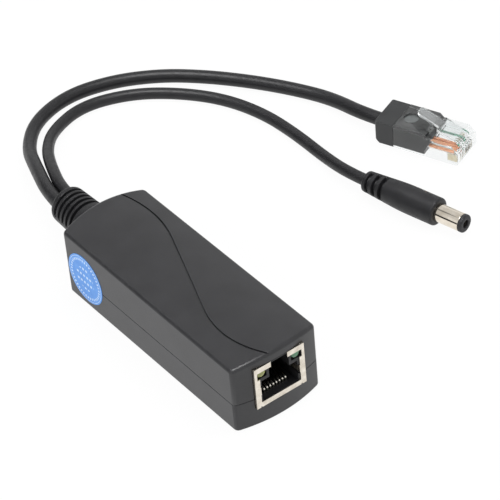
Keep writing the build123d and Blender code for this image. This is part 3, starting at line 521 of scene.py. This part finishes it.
def printed_seal():
    """Pale blue seal with a rim, a ring of dashes and rows of short bars, all without meaning.

    Each is a band of the distance from the seal's centre, times a wave of the angle or of the place
    along and up."""
    finish = Finish("printed_seal", "4680c5", 0.42)
    place = finish.place(centre=(0, seal_y * MM, seal_z * MM))
    parts = finish.node("ShaderNodeSeparateXYZ")
    finish.link(place, parts.inputs["Vector"])
    along, up = parts.outputs["Y"], parts.outputs["Z"]

    def worked_out(operation, *values):
        """Result of a Math node, with each value a number or another node's result."""
        made = finish.node("ShaderNodeMath", operation=operation)
        for index, value in enumerate(values):
            if isinstance(value, (int, float)):
                made.inputs[index].default_value = value
            else:
                finish.link(value, made.inputs[index])
        return made.outputs["Value"]

    def band(value, low, high):
        """1 where the value lies between low and high, else 0."""
        above = worked_out("GREATER_THAN", value, low)
        return worked_out("MULTIPLY", above, worked_out("LESS_THAN", value, high))

    flat = finish.node("ShaderNodeCombineXYZ")
    finish.link(along, flat.inputs["X"])
    finish.link(up, flat.inputs["Y"])
    length = finish.node("ShaderNodeVectorMath", operation="LENGTH")
    finish.link(flat.outputs["Vector"], length.inputs[0])
    distance = length.outputs["Value"]
    angle = worked_out("ARCTAN2", up, along)
    step = worked_out("FRACT", worked_out("MULTIPLY", angle, seal_dashes / (2 * pi)))
    dash_ring = band(distance, *[reach * MM for reach in seal_dash_ring])
    ring = worked_out("MULTIPLY", dash_ring, worked_out("LESS_THAN", step, 0.5))
    rim = band(distance, *[reach * MM for reach in seal_rim])
    row = worked_out("FRACT", worked_out("MULTIPLY", up, 1 / (seal_row_pitch * MM)))
    bar = worked_out("FRACT", worked_out("MULTIPLY", along, 1 / (seal_bar_pitch * MM)))
    inked = worked_out("LESS_THAN", bar, seal_bar_share)
    bars = worked_out("MULTIPLY", band(row, *seal_row_band), inked)
    middle = worked_out("MULTIPLY", bars, worked_out("LESS_THAN", distance, seal_bars_reach * MM))
    print_mask = worked_out("MAXIMUM", worked_out("MAXIMUM", ring, rim), middle)
    mix = finish.node("ShaderNodeMix", data_type="RGBA")
    mix.inputs[7].default_value = linear("a8bed8")
    finish.link(print_mask, mix.inputs["Factor"])
    blue = finish.between(finish.noise(4.0, 2), "407ac0", "4d86c9")
    finish.link(blue, mix.inputs[6])
    finish.paint(mix.outputs[2])
    finish.relief(finish.noise(0.3, 2), 0.004)
    return finish.material


def points_of(mesh):
    """The mesh's points, in millimetres."""
    flat = np.zeros(len(mesh.vertices) * 3)
    mesh.vertices.foreach_get("co", flat)
    return flat.reshape(-1, 3) / MM


def corner_points(mesh):
    """The number of the point that each face corner lies on."""
    corners = np.zeros(len(mesh.loops), np.int32)
    mesh.loops.foreach_get("vertex_index", corners)
    return corners


def surface(name, points, material, uv=None):
    """Closed skin from rows of points around an axis: rows are joined to the next, each row to itself,
    and the first and last rows are each closed by a fan to their centre."""
    rows, around, _ = points.shape
    vertices = points.reshape(-1, 3)
    ends = np.array([points[0].mean(0), points[-1].mean(0)])
    row, step = np.meshgrid(np.arange(rows - 1), np.arange(around), indexing="ij")
    following = (step + 1) % around
    quads = np.stack([
        row * around + step, row * around + following,
        (row + 1) * around + following, (row + 1) * around + step,
    ], -1).reshape(-1, 4)
    spot = np.arange(around)
    after = (spot + 1) % around
    first = np.stack([np.full(around, len(vertices)), after, spot], -1)
    base = (rows - 1) * around
    last = np.stack([np.full(around, len(vertices) + 1), base + spot, base + after], -1)
    mesh = bpy.data.meshes.new(name)
    mesh.from_pydata(
        np.concatenate([vertices, ends]).tolist(), [],
        quads.tolist() + first.tolist() + last.tolist(),
    )
    if uv is not None:
        flat = np.concatenate([uv.reshape(-1, 2), np.array([uv[0].mean(0), uv[-1].mean(0)])])
        layer = mesh.uv_layers.new(name="UVMap")
        layer.data.foreach_set("uv", flat[corner_points(mesh)].ravel())
    return finish_mesh(name, mesh, material)


def finish_mesh(name, mesh, material, sharp=40):
    """Object of the mesh with outward faces, smooth but for its sharp edges, riding on the part."""
    work = bmesh.new()
    work.from_mesh(mesh)
    bmesh.ops.remove_doubles(work, verts=work.verts, dist=0.0005 * MM)
    bmesh.ops.recalc_face_normals(work, faces=work.faces)
    work.to_mesh(mesh)
    work.free()
    mesh.shade_smooth()
    mesh.set_sharp_from_angle(angle=radians(sharp))
    mesh.materials.append(material)
    piece = bpy.data.objects.new(name, mesh)
    bpy.context.scene.collection.objects.link(piece)
    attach(piece, "root")
    return piece


def lathe(profile, around, place):
    """Rows of points of (radius, along) pairs turned about a piece's own Y axis, then put in place:
    (radius * cos(angle), along, radius * sin(angle))."""
    angle = np.linspace(0, 2 * pi, around, endpoint=False)
    radius, along = profile[:, 0, None], profile[:, 1, None]
    local = np.stack([radius * np.cos(angle), along + 0 * angle, radius * np.sin(angle)], -1)
    return put(local, place)


def lathe_map(profile, around):
    """UV of a lathed skin: once around, and the distance along the profile in metres."""
    steps = np.linalg.norm(np.diff(profile, axis=0), axis=1)
    along = np.concatenate([[0], np.cumsum(steps)]) * MM
    turn = np.linspace(0, 1, around, endpoint=False)
    return np.stack(np.broadcast_arrays(turn[None, :], along[:, None]), -1)


def put(local, place):
    """Points of a piece's own frame turned about Z, moved to its place and made metres."""
    (x, y, z), turn = place
    turned = np.stack([
        x + local[..., 0] * cos(turn) - local[..., 1] * sin(turn),
        y + local[..., 0] * sin(turn) + local[..., 1] * cos(turn),
        z + local[..., 2],
    ], -1)
    return turned * MM


def rounded(corners, radius, steps=6):
    """Outline through the corners, each inner one replaced by a parabola that is tangent to its two
    runs at the radius from the corner, or at 0.45 of the shorter run."""
    corners = np.array(corners, float)
    radius = np.broadcast_to(radius, len(corners))
    outline = [corners[:1]]
    share = np.linspace(0, 1, steps)[:, None]
    for before, corner, after, size in zip(corners, corners[1:], corners[2:], radius[1:]):
        back, on = before - corner, after - corner
        cut = min(size, 0.45 * np.linalg.norm(back), 0.45 * np.linalg.norm(on))
        start = corner + back / np.linalg.norm(back) * cut
        end = corner + on / np.linalg.norm(on) * cut
        outline.append((1 - share) ** 2 * start + 2 * share * (1 - share) * corner + share ** 2 * end)
    outline.append(corners[-1:])
    return np.concatenate(outline)


def evenly(outline, spacing):
    """The outline's own points with more between them, no further apart than the spacing."""
    steps = np.linalg.norm(np.diff(outline, axis=0), axis=1)
    along = np.concatenate([[0], np.cumsum(steps)])
    extra = np.linspace(0, along[-1], int(along[-1] / spacing) + 2)
    stations = np.unique(np.round(np.concatenate([along, extra]), 4))
    return np.stack([np.interp(stations, along, outline[:, axis]) for axis in (0, 1)], -1)


def smooth_step(value, low, high):
    """0 below low, 1 above high, and an S curve between."""
    share = np.clip((value - low) / (high - low), 0, 1)
    return share * share * (3 - 2 * share)


def slotted(profile, around, core, spine, tilt, middles, width, edge=0.14):
    """Rows of radii in which each slot drops to the core, except across the two spines.

    radius = profile - (profile - core) * slot(along) * open(angle), where slot is 1 within the width
    of a middle and open is 1 where the point lies further than half a spine from the tilt plane."""
    angle = np.linspace(0, 2 * pi, around, endpoint=False)[None, :]
    radius, along = profile[:, 0, None], profile[:, 1, None]
    away = np.abs(radius * np.sin(angle - tilt))
    is_open = smooth_step(away, spine / 2 - edge, spine / 2 + 3 * edge)
    slot = np.zeros_like(along)
    for middle in middles:
        distance = np.abs(along - middle)
        slot = np.maximum(slot, 1 - smooth_step(distance, width / 2 - edge, width / 2 + edge / 2))
    return radius - np.clip(radius - core, 0, None) * slot * is_open, angle, along


def wall_sag(x, inset):
    """How far the arched rear wall lies in front of its apex at x: an arc of the rear bow's rise."""
    half = half_width - inset
    radius = (half ** 2 + rear_bow ** 2) / (2 * rear_bow)
    return radius - np.sqrt(radius ** 2 - x ** 2)


def rear_boot(material):
    """Ribbed boot: flange and neck in the rear wall, tapered body with slots left open on two sides.
    Near the wall its rows are drawn forward by the wall's sag, so that it meets the arched wall."""
    inner = half_length - wall
    body = rounded([
        (flange_radius, flange_front), (flange_radius, inner), (neck_radius, inner + hairline),
        (neck_radius, half_length - hairline), (boot_root_radius, half_length),
        (boot_end_radius, boot_end), (0.4, boot_end),
    ], [0.3, 0.2, 0.05, 0.05, 0.12, boot_end_round, 0.0])
    profile = evenly(body, boot_spacing)
    middles = [boot_end - boot_slot_start - index * boot_slot_pitch for index in range(boot_slots)]
    radius, angle, along = slotted(
        profile, boot_around, boot_core_radius, boot_spine, boot_tilt, middles, boot_slot_width
    )
    x = radius * np.cos(angle)
    inside = 1 - smooth_step(along, inner + 0.3, half_length - 0.3)
    near = smooth_step(along, flange_front, inner)
    near = near * (1 - smooth_step(along, half_length, half_length + boot_sag_reach))
    sag = inside * wall_sag(x, wall) + (1 - inside) * wall_sag(x, 0)
    points = np.stack([x, along - near * sag, boot_height + radius * np.sin(angle)], -1) * MM
    piece = surface("ribbed_boot", points, material)
    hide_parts("rear_boot")
    return piece


def power_grip(material, place):
    """Grip of the power plug: rounded front, straight half, taper to the slotted tail."""
    bore = barrel_bore + grip_core_lap
    body = rounded([
        (0.3, barrel_end), (bore, barrel_end), (bore, barrel_length),
        (grip_radius, barrel_length), (grip_radius, grip_taper_start), (grip_tail_radius, grip_end),
        (power_socket_radius, grip_end), (power_socket_radius, grip_end - plug_seat),
        (0.3, grip_end - plug_seat),
    ], [0, 0.1, 0.15, 1.3, 3.0, 1.0, 0.15, 0.1, 0])
    profile = evenly(body, grip_spacing)
    middles = [grip_end - grip_slot_start - index * grip_slot_pitch for index in range(grip_slots)]
    radius, angle, along = slotted(
        profile, grip_around, grip_core_radius, grip_spine, grip_spine_turn, middles, grip_slot_width
    )
    socket = profile[:, 0, None] <= grip_core_radius
    radius = np.where(socket, profile[:, 0, None], radius)
    local = np.stack([radius * np.cos(angle), along + 0 * angle, radius * np.sin(angle)], -1)
    piece = surface("power_plug_moulding", put(local, place), material)
    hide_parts("power_plug_grip")
    return piece


def power_barrel(material, place):
    """Plated barrel: a thin tube with broken edges, stepped down where the grip holds it, and closed
    at its inner end, where the profile starts and ends."""
    root = barrel_radius - barrel_step
    step = barrel_length - barrel_step_gap
    profile = rounded([
        (barrel_bore, barrel_end), (barrel_bore, tip_length), (barrel_radius, tip_length),
        (barrel_radius, step), (root, step), (root, barrel_end), (barrel_bore, barrel_end),
    ], [0, 0.05, 0.12, 0.02, 0.02, 0.02, 0])
    piece = surface(
        "plated_barrel", lathe(profile, barrel_around, place), material,
        lathe_map(profile, barrel_around),
    )
    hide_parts("power_plug_barrel")
    return piece


def power_tip(material, place):
    """Black insulator: rounded ring at the tip, sleeve between the barrel and the centre contact,
    closed at its inner end like the barrel."""
    bore, sleeve = centre_radius + sleeve_gap, barrel_bore - sleeve_gap
    profile = rounded([
        (bore, barrel_end), (bore, centre_recess), (tip_hole_radius, centre_recess),
        (tip_hole_radius, 0), (barrel_radius, 0), (barrel_radius, tip_length - hairline),
        (sleeve, tip_length), (sleeve, barrel_end), (bore, barrel_end),
    ], [0, 0.05, 0.1, 0.25, 0.7, 0.12, 0.05, 0.05, 0])
    piece = surface("insulator_tip", lathe(profile, barrel_around, place), material)
    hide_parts("power_plug_insulator")
    return piece


def centre_contact(material, place):
    """Spring sleeve of the centre contact, closed at its inner end like the barrel."""
    front = centre_recess + sleeve_gap
    profile = rounded([
        (centre_bore, barrel_end), (centre_bore, front), (centre_radius, front),
        (centre_radius, barrel_end), (centre_bore, barrel_end),
    ], 0.08)
    piece = surface(
        "centre_sleeve", lathe(profile, contact_around, place), material,
        lathe_map(profile, contact_around),
    )
    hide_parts("power_plug_centre")
    return piece


def lamp(name, node, side, material):
    """Indicator lamp: a cylinder with a rounded nose, lying along Y."""
    rear = lamp_nose + lamp_length
    profile = rounded(
        [(0.1, lamp_nose), (lamp_radius, lamp_nose), (lamp_radius, rear), (0.1, rear)],
        [0, lamp_nose_round, 0.05, 0],
    )
    place = ((side * lamp_spacing / 2, 0, lamp_height), 0.0)
    piece = surface(name, lathe(profile, lamp_around, place), material)
    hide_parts(node)


def seal(material):
    """Thin disc on the left wall that follows the wall's corner towards the rear.

    Rings of points: out over the face, round the edge and back over the underside. A point at y and
    z has x = -centre_x - sqrt((corner_round + lift)^2 - past^2), where past is how far y lies beyond
    the centre of the corner's round, and 0 before it."""
    rear_radius = (half_width ** 2 + rear_bow ** 2) / (2 * rear_bow)
    centre_x = half_width - corner_round
    centre_y = half_length - rear_radius + np.sqrt((rear_radius - corner_round) ** 2 - centre_x ** 2)
    count = 40
    rings = np.concatenate([
        np.linspace(seal_edge, seal_radius - seal_edge, count), [seal_radius, seal_radius],
        np.linspace(seal_radius - seal_edge, seal_edge, count),
    ])
    lifts = np.concatenate([
        np.full(count, seal_thickness), [seal_thickness * 0.6, seal_thickness * 0.1],
        np.full(count, seal_back),
    ])
    angle = np.linspace(0, 2 * pi, seal_around, endpoint=False)[None, :]
    y = seal_y + rings[:, None] * np.cos(angle)
    z = seal_z + rings[:, None] * np.sin(angle)
    past = np.clip(y - centre_y, 0, None)
    reach = corner_round + lifts[:, None]
    x = -centre_x - np.sqrt(reach ** 2 - past ** 2)
    piece = surface("blue_seal", np.stack([x, y, z], -1) * MM, material)
    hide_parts("seal_disc")


def plug_wire(name, pin, material):
    """Insulated wire of one plug position, with broken ends."""
    x = (pin - (contacts + 1) / 2) * contact_pitch
    profile = rounded([
        (0.05, plug_wire_front), (plug_wire_radius, plug_wire_front),
        (plug_wire_radius, plug_wire_rear), (0.05, plug_wire_rear),
    ], 0.1)
    (px, py, _), turn = network_plug_nose, network_plug_turn
    place = ((px + x * cos(turn), py + x * sin(turn), plug_wire_level), turn)
    skin = lathe(profile, wire_around, place)
    return surface(name, skin, material, lathe_map(profile, wire_around))


def plug_mark(material):
    """Frosted round mark lying on top of the clear plug: a thin disc turned about its own Z."""
    reach, low = boss_radius - mark_inset, boss_level + mark_lift
    high = low + mark_thickness
    profile = rounded([(0.1, low), (reach, low), (reach, high), (0.1, high)], 0.05)
    angle = np.linspace(0, 2 * pi, mark_around, endpoint=False)
    radius, height = profile[:, 0, None], profile[:, 1, None]
    local = np.stack(
        [radius * np.cos(angle), boss_place + radius * np.sin(angle), height + 0 * angle], -1
    )
    skin = put(local, (network_plug_nose, network_plug_turn))
    return surface("frosted_mark", skin, material)


def grown_tongue(mesh):
    """Moves the tongue's skin just into the clear body, so that no air shows between the two: each
    point in the plug's own frame goes outwards by tongue_growth, sideways, up or down, and forwards."""
    points = points_of(mesh)
    (px, py, _), turn = network_plug_nose, network_plug_turn
    across = (points[:, 0] - px) * cos(turn) + (points[:, 1] - py) * sin(turn)
    along = (points[:, 1] - py) * cos(turn) - (points[:, 0] - px) * sin(turn)
    tongue = along < plug_length - tongue_margin
    inside = np.abs(across) < plug_half_width - 2 * tongue_margin
    inside = inside & (along < plug_length + 2 * tongue_margin)
    across = across + inside * np.sign(across) * tongue_growth
    height = points[:, 2] + inside * np.sign(points[:, 2] - plug_wire_level) * tongue_growth
    along = along - tongue * tongue_growth
    moved = np.stack([
        px + across * cos(turn) - along * sin(turn),
        py + across * sin(turn) + along * cos(turn),
        height,
    ], -1)
    mesh.vertices.foreach_set("co", (moved * MM).ravel())


def shade_along_walls(mesh):
    """Gives the corners of the housing's facets the direction of the wall that they lie on, so that
    light runs evenly over it.

    The crown, the groove's floor and the two bowed walls are arcs across X. At x an arc looks along
    (x, outward * run) / radius, where run = sqrt(radius^2 - x^2). The side walls look along X. A
    corner counts as the wall's where it lies within near_wall of it and faces within alike_turn."""
    near_wall = 0.02
    alike_turn = radians(30.0)
    points = points_of(mesh)
    corners = corner_points(mesh)
    shading = np.zeros(len(mesh.loops) * 3)
    mesh.corner_normals.foreach_get("vector", shading)
    shading = shading.reshape(-1, 3)
    top = side_height + crown_rise
    arcs = [
        (2, 1, top, crown_rise), (2, 1, top - groove_depth, crown_rise),
        (1, -1, -half_length, front_bow), (1, 1, half_length, rear_bow),
    ]
    for axis, outward, apex, rise in arcs:
        radius = (half_width ** 2 + rise ** 2) / (2 * rise)
        run = np.sqrt(radius ** 2 - points[:, 0] ** 2)
        place = apex - outward * (radius - run)
        toward = np.zeros_like(points)
        toward[:, 0] = points[:, 0] / radius
        toward[:, axis] = outward * run / radius
        near = np.abs(place - points[:, axis]) < near_wall
        chosen = near[corners] & ((shading * toward[corners]).sum(1) > cos(alike_turn))
        shading[chosen] = toward[corners][chosen]
    for side in (-1, 1):
        near = np.abs(side * points[:, 0] - half_width) < near_wall
        shading[near[corners] & (side * shading[:, 0] > cos(alike_turn))] = (side, 0, 0)
    mesh.normals_split_custom_set(shading.tolist())


def finished_copy(node, name, material, edge, sharp=35, cover=False):
    """Copy of a solid with its doubles merged, flat faces made whole and sharp edges rounded. A
    cover of the housing has its edges rounded in the mesh, and then its walls shaded."""
    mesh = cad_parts[node].data.copy()
    mesh.name = name
    mesh.materials.clear()
    work = bmesh.new()
    work.from_mesh(mesh)
    bmesh.ops.remove_doubles(work, verts=work.verts, dist=0.001 * MM)
    bmesh.ops.dissolve_limit(work, angle_limit=radians(0.3), verts=work.verts, edges=work.edges)
    if cover:
        keen = [e for e in work.edges if e.is_manifold and e.calc_face_angle() > radians(sharp)]
        bmesh.ops.bevel(
            work, geom=keen, offset=edge * MM, segments=2, profile=0.5, affect="EDGES",
            clamp_overlap=True,
        )
    work.to_mesh(mesh)
    work.free()
    piece = finish_mesh(name, mesh, material, sharp)
    if cover:
        shade_along_walls(mesh)
    else:
        bevel = piece.modifiers.new("broken_edges", "BEVEL")
        bevel.width = edge * MM
        bevel.segments = 2
        bevel.limit_method = "ANGLE"
        bevel.angle_limit = radians(sharp)
        bevel.harden_normals = True
        bevel.use_clamp_overlap = True
    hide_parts(node)
    return piece


def cord(name, node, points, diameter, material):
    """Free cord: one smooth spline pulled by its route's points, as thick as the cord."""
    curve = bpy.data.curves.new(name, "CURVE")
    curve.dimensions = "3D"
    curve.bevel_depth = diameter / 2 * MM
    curve.bevel_resolution = 10
    curve.use_fill_caps = True
    spline = curve.splines.new("NURBS")
    spline.points.add(len(points) - 1)
    route = np.ones((len(points), 4))
    route[:, :3] = np.array(points) * MM
    spline.points.foreach_set("co", route.ravel())
    spline.order_u = 3
    spline.use_endpoint_u = True
    spline.resolution_u = 24
    curve.materials.append(material)
    piece = bpy.data.objects.new(name, curve)
    bpy.context.scene.collection.objects.link(piece)
    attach(piece, "root")
    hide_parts(node)


def dress_inside():
    """Finishes of what the closed housing holds."""
    finishes = {
        solder_mask(): ["circuit_board"],
        chip_resin(): [
            "data_transformer", "bridge_rectifiers", "power_controller", "switching_transistor",
            "output_diode", "chip_resistors",
        ],
        tinned_wire(): [
            "data_transformer_pins", "power_controller_pins", "transformer_pins", "lamp_leads",
        ],
        ferrite(): ["transformer_cores", "inductor_drum"],
        wrapping_tape(): ["transformer_winding"],
        wound_copper(): ["inductor_coil"],
        shrink_sleeve(): ["input_capacitor", "output_capacitors"],
        pale_moulding("white_package", "c9c9c3", "dcdcd6", 0.4): ["feedback_coupler"],
        pale_moulding("sintered_tan", "9f8662", "bfa47c", 0.5): ["ceramic_capacitors"],
        pale_moulding("bobbin_resin", "1d1a16", "2b2720", 0.5): ["transformer_bobbin"],
        lead_skin("orange_lead", "d96f2b", "ee8440"): ["orange_data_leads"],
        lead_skin("green_lead", "2c8a5c", "3aa06e"): ["green_data_leads"],
        lead_skin("red_lead", "a81512", "c2221d"): ["positive_power_lead"],
        lead_skin("black_lead", "141414", "202020"): ["negative_power_lead"],
    }
    for material, nodes in finishes.items():
        for node in nodes:
            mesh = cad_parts[node].data
            mesh.materials.clear()
            mesh.materials.append(material)


def dress_outside():
    """Every piece that shows, and the cords with what is on them."""
    housing = moulded_plastic(
        "housing_plastic", "1f1f21", "262628", roughness=0.34, grain_size=0.22, grain_depth=0.007
    )
    insert = moulded_plastic(
        "insert_plastic", "101011", "18181a", roughness=0.5, grain_size=0.2, grain_depth=0.006
    )
    block = moulded_plastic(
        "block_plastic", "202122", "28292a", roughness=0.4, grain_size=0.25, grain_depth=0.005
    )
    vinyl = soft_vinyl("boot_vinyl", "151517", "1c1c1e", 0.46)
    jacket = soft_vinyl("cord_jacket", "131315", "1a1a1c", 0.4)
    power_place = (power_plug_tip, power_plug_turn)

    for half in ("upper_cover", "lower_cover"):
        finished_copy(
            half, "moulded_" + half, housing, edge=cover_edge, sharp=50, cover=True
        )
    finished_copy("jack_shield", "folded_shield", tinned_sheet(), edge=0.07)
    finished_copy("jack_insert", "moulded_insert", insert, edge=0.08)
    # The jack's contacts carry a painted highlight at their bend and painted shade further in.
    finished_copy("jack_contacts", "sprung_contacts", gold_with_painted_glint(), edge=0.06)
    yellow_green = lamp_lens("yellow_green_lens", "7d7f34", "9aa04a")
    green = lamp_lens("green_lens", "2c6a44", "428a5e")
    lamp("left_lens", "left_indicator_lamp", -1, yellow_green)
    lamp("right_lens", "right_indicator_lamp", 1, green)
    seal(printed_seal())

    boot = rear_boot(vinyl)
    plug_body = finished_copy(
        "network_plug_body", "clear_plug", clear_moulding(), edge=0.1
    )
    plug_block = finished_copy(
        "network_plug_block", "plug_block_moulding", block, edge=0.2
    )
    grown_tongue(plug_block.data)
    blades = finished_copy("plug_blades", "gold_blades", gold_flash(), edge=0.05)
    mark = plug_mark(frosted_mark())
    orange_striped = wire_skin("orange_striped", "ffb386", "fff3ea")
    orange_plain = wire_skin("orange_plain", "ffb386", "ffa372")
    green_striped = wire_skin("green_striped", "f0f7f3", "86cdb0")
    green_plain = wire_skin("green_plain", "86cdb0", "70bd9c")
    wires = [
        plug_wire("orange_striped_wire", 1, orange_striped),
        plug_wire("orange_wire", 2, orange_plain),
        plug_wire("green_striped_wire", 3, green_striped),
        plug_wire("green_wire", 6, green_plain),
    ]
    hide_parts("orange_plug_wires")
    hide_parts("green_plug_wires")

    grip = power_grip(vinyl, power_place)
    barrel = power_barrel(plated_barrel(), power_place)
    tip = power_tip(chip_resin(), power_place)
    sleeve = centre_contact(dark_nickel(), power_place)

    cord(
        "satin_ethernet_cord", "ethernet_cord", ethernet_cord_points, ethernet_cord_diameter,
        jacket,
    )
    cord(
        "satin_dc_cord", "dc_cord", dc_cord_points, dc_cord_diameter, jacket,
    )


def make_floor():
    """Floor that is white to the eye, to gloss and through clear plastic, but for the small share of
    it that is matt and takes the object's shadow."""
    material = bpy.data.materials.new("white_floor")
    material.use_nodes = True
    tree = material.node_tree
    tree.nodes.clear()
    seen = see_white(tree)
    matt = tree.nodes.new("ShaderNodeBsdfDiffuse")
    matt.inputs["Color"].default_value = (floor_grey, floor_grey, floor_grey, 1)
    white = tree.nodes.new("ShaderNodeEmission")
    shade = tree.nodes.new("ShaderNodeMath")
    shade.operation = "MULTIPLY"
    shade.inputs[1].default_value = floor_white_share
    tree.links.new(seen, shade.inputs[0])
    mix = tree.nodes.new("ShaderNodeMixShader")
    tree.links.new(shade.outputs["Value"], mix.inputs["Fac"])
    tree.links.new(matt.outputs["BSDF"], mix.inputs[1])
    tree.links.new(white.outputs["Emission"], mix.inputs[2])
    out = tree.nodes.new("ShaderNodeOutputMaterial")
    tree.links.new(mix.outputs["Shader"], out.inputs["Surface"])
    material.cycles.emission_sampling = "NONE"
    mesh = bpy.data.meshes.new("floor")
    signs = [(-1, -1), (1, -1), (1, 1), (-1, 1)]
    mesh.from_pydata([(x * floor_reach, y * floor_reach, 0) for x, y in signs], [], [(0, 1, 2, 3)])
    mesh.materials.append(material)
    floor = bpy.data.objects.new("floor", mesh)
    bpy.context.scene.collection.objects.link(floor)


def see_white(tree, glossy=True):
    """1 for a ray from the camera, through clear plastic or, where asked, from gloss, else 0."""
    path = tree.nodes.new("ShaderNodeLightPath")
    rays = [path.outputs["Is Camera Ray"], path.outputs["Is Transmission Ray"]]
    if glossy:
        rays.append(path.outputs["Is Glossy Ray"])
    found = rays[0]
    for ray in rays[1:]:
        largest = tree.nodes.new("ShaderNodeMath")
        largest.operation = "MAXIMUM"
        tree.links.new(found, largest.inputs[0])
        tree.links.new(ray, largest.inputs[1])
        found = largest.outputs["Value"]
    return found


def make_light():
    """White surroundings to the eye and through clear plastic, and for the object itself a soft sky.

    The sky is dim behind the object on the left, a little dimmer overhead, and bright elsewhere down
    to a pale horizon. A dark seam runs above the horizon and another lies overhead, for metal to
    show, and a small panel overhead lights only the gloss of the cords and the front edge. Three
    soft lamps model the forms."""
    scene = bpy.context.scene
    world = bpy.data.worlds.new("white_studio")
    scene.world = world
    world.use_nodes = True
    tree = world.node_tree
    tree.nodes.clear()
    direction = tree.nodes.new("ShaderNodeTexCoord").outputs["Generated"]
    parts = tree.nodes.new("ShaderNodeSeparateXYZ")
    tree.links.new(direction, parts.inputs["Vector"])

    def ramp(source, first, last, start, end):
        """The first value before start, the last one after end, and an S curve between."""
        made = tree.nodes.new("ShaderNodeMapRange")
        made.interpolation_type = "SMOOTHSTEP"
        made.inputs["From Min"].default_value = start
        made.inputs["From Max"].default_value = end
        made.inputs["To Min"].default_value = first
        made.inputs["To Max"].default_value = last
        tree.links.new(source, made.inputs["Value"])
        return made.outputs["Result"]

    def combined(operation, first, second):
        made = tree.nodes.new("ShaderNodeMath")
        made.operation = operation
        tree.links.new(first, made.inputs[0])
        tree.links.new(second, made.inputs[1])
        return made.outputs["Value"]

    def largest(first, second):
        return combined("MAXIMUM", first, second)

    def product(first, second):
        return combined("MULTIPLY", first, second)

    def toward(aim):
        """Cosine of the angle between the direction looked at and the aim."""
        made = tree.nodes.new("ShaderNodeVectorMath")
        made.operation = "DOT_PRODUCT"
        made.inputs[1].default_value = aim
        tree.links.new(direction, made.inputs[0])
        return made.outputs["Value"]

    height = parts.outputs["Z"]
    sky = ramp(toward(sky_direction), sky_dark, sky_bright, *sky_span)
    sky = product(sky, ramp(height, 1.0, overhead_dim, *overhead_span))
    horizon = ramp(height, horizon_bright, 0.0, *horizon_span)
    panel = ramp(toward(panel_direction), 0.0, panel_strength, *panel_span)
    gloss = tree.nodes.new("ShaderNodeLightPath").outputs["Is Glossy Ray"]
    overhead_seam = ramp(toward(seam_direction), 1.0, seam_dark, *overhead_seam_span)
    horizon_seam = ramp(height, seam_dark, 1.0, *horizon_seam_span)
    studio = product(product(largest(sky, horizon), overhead_seam), horizon_seam)
    studio = largest(studio, product(panel, gloss))
    mix = tree.nodes.new("ShaderNodeMix")
    tree.links.new(see_white(tree, glossy=False), mix.inputs["Factor"])
    tree.links.new(studio, mix.inputs["A"])
    mix.inputs["B"].default_value = 1.0
    background = tree.nodes.new("ShaderNodeBackground")
    background.inputs["Color"].default_value = (1, 1, 1, 1)
    tree.links.new(mix.outputs["Result"], background.inputs["Strength"])
    out = tree.nodes.new("ShaderNodeOutputWorld")
    tree.links.new(background.outputs["Background"], out.inputs["Surface"])
    for name, place, size, power in lamps:
        data = bpy.data.lights.new(name, "AREA")
        data.shape = "SQUARE"
        data.size = size
        data.energy = power
        lamp_object = bpy.data.objects.new(name, data)
        scene.collection.objects.link(lamp_object)
        lamp_object.location = place
        lamp_object.visible_glossy = False
        lamp_object.rotation_euler = (-Vector(place)).to_track_quat("-Z", "Y").to_euler()


scene = bpy.context.scene
scene.view_settings.view_transform = "Standard"
make_camera()
make_light()
make_floor()
dress_inside()
dress_outside()
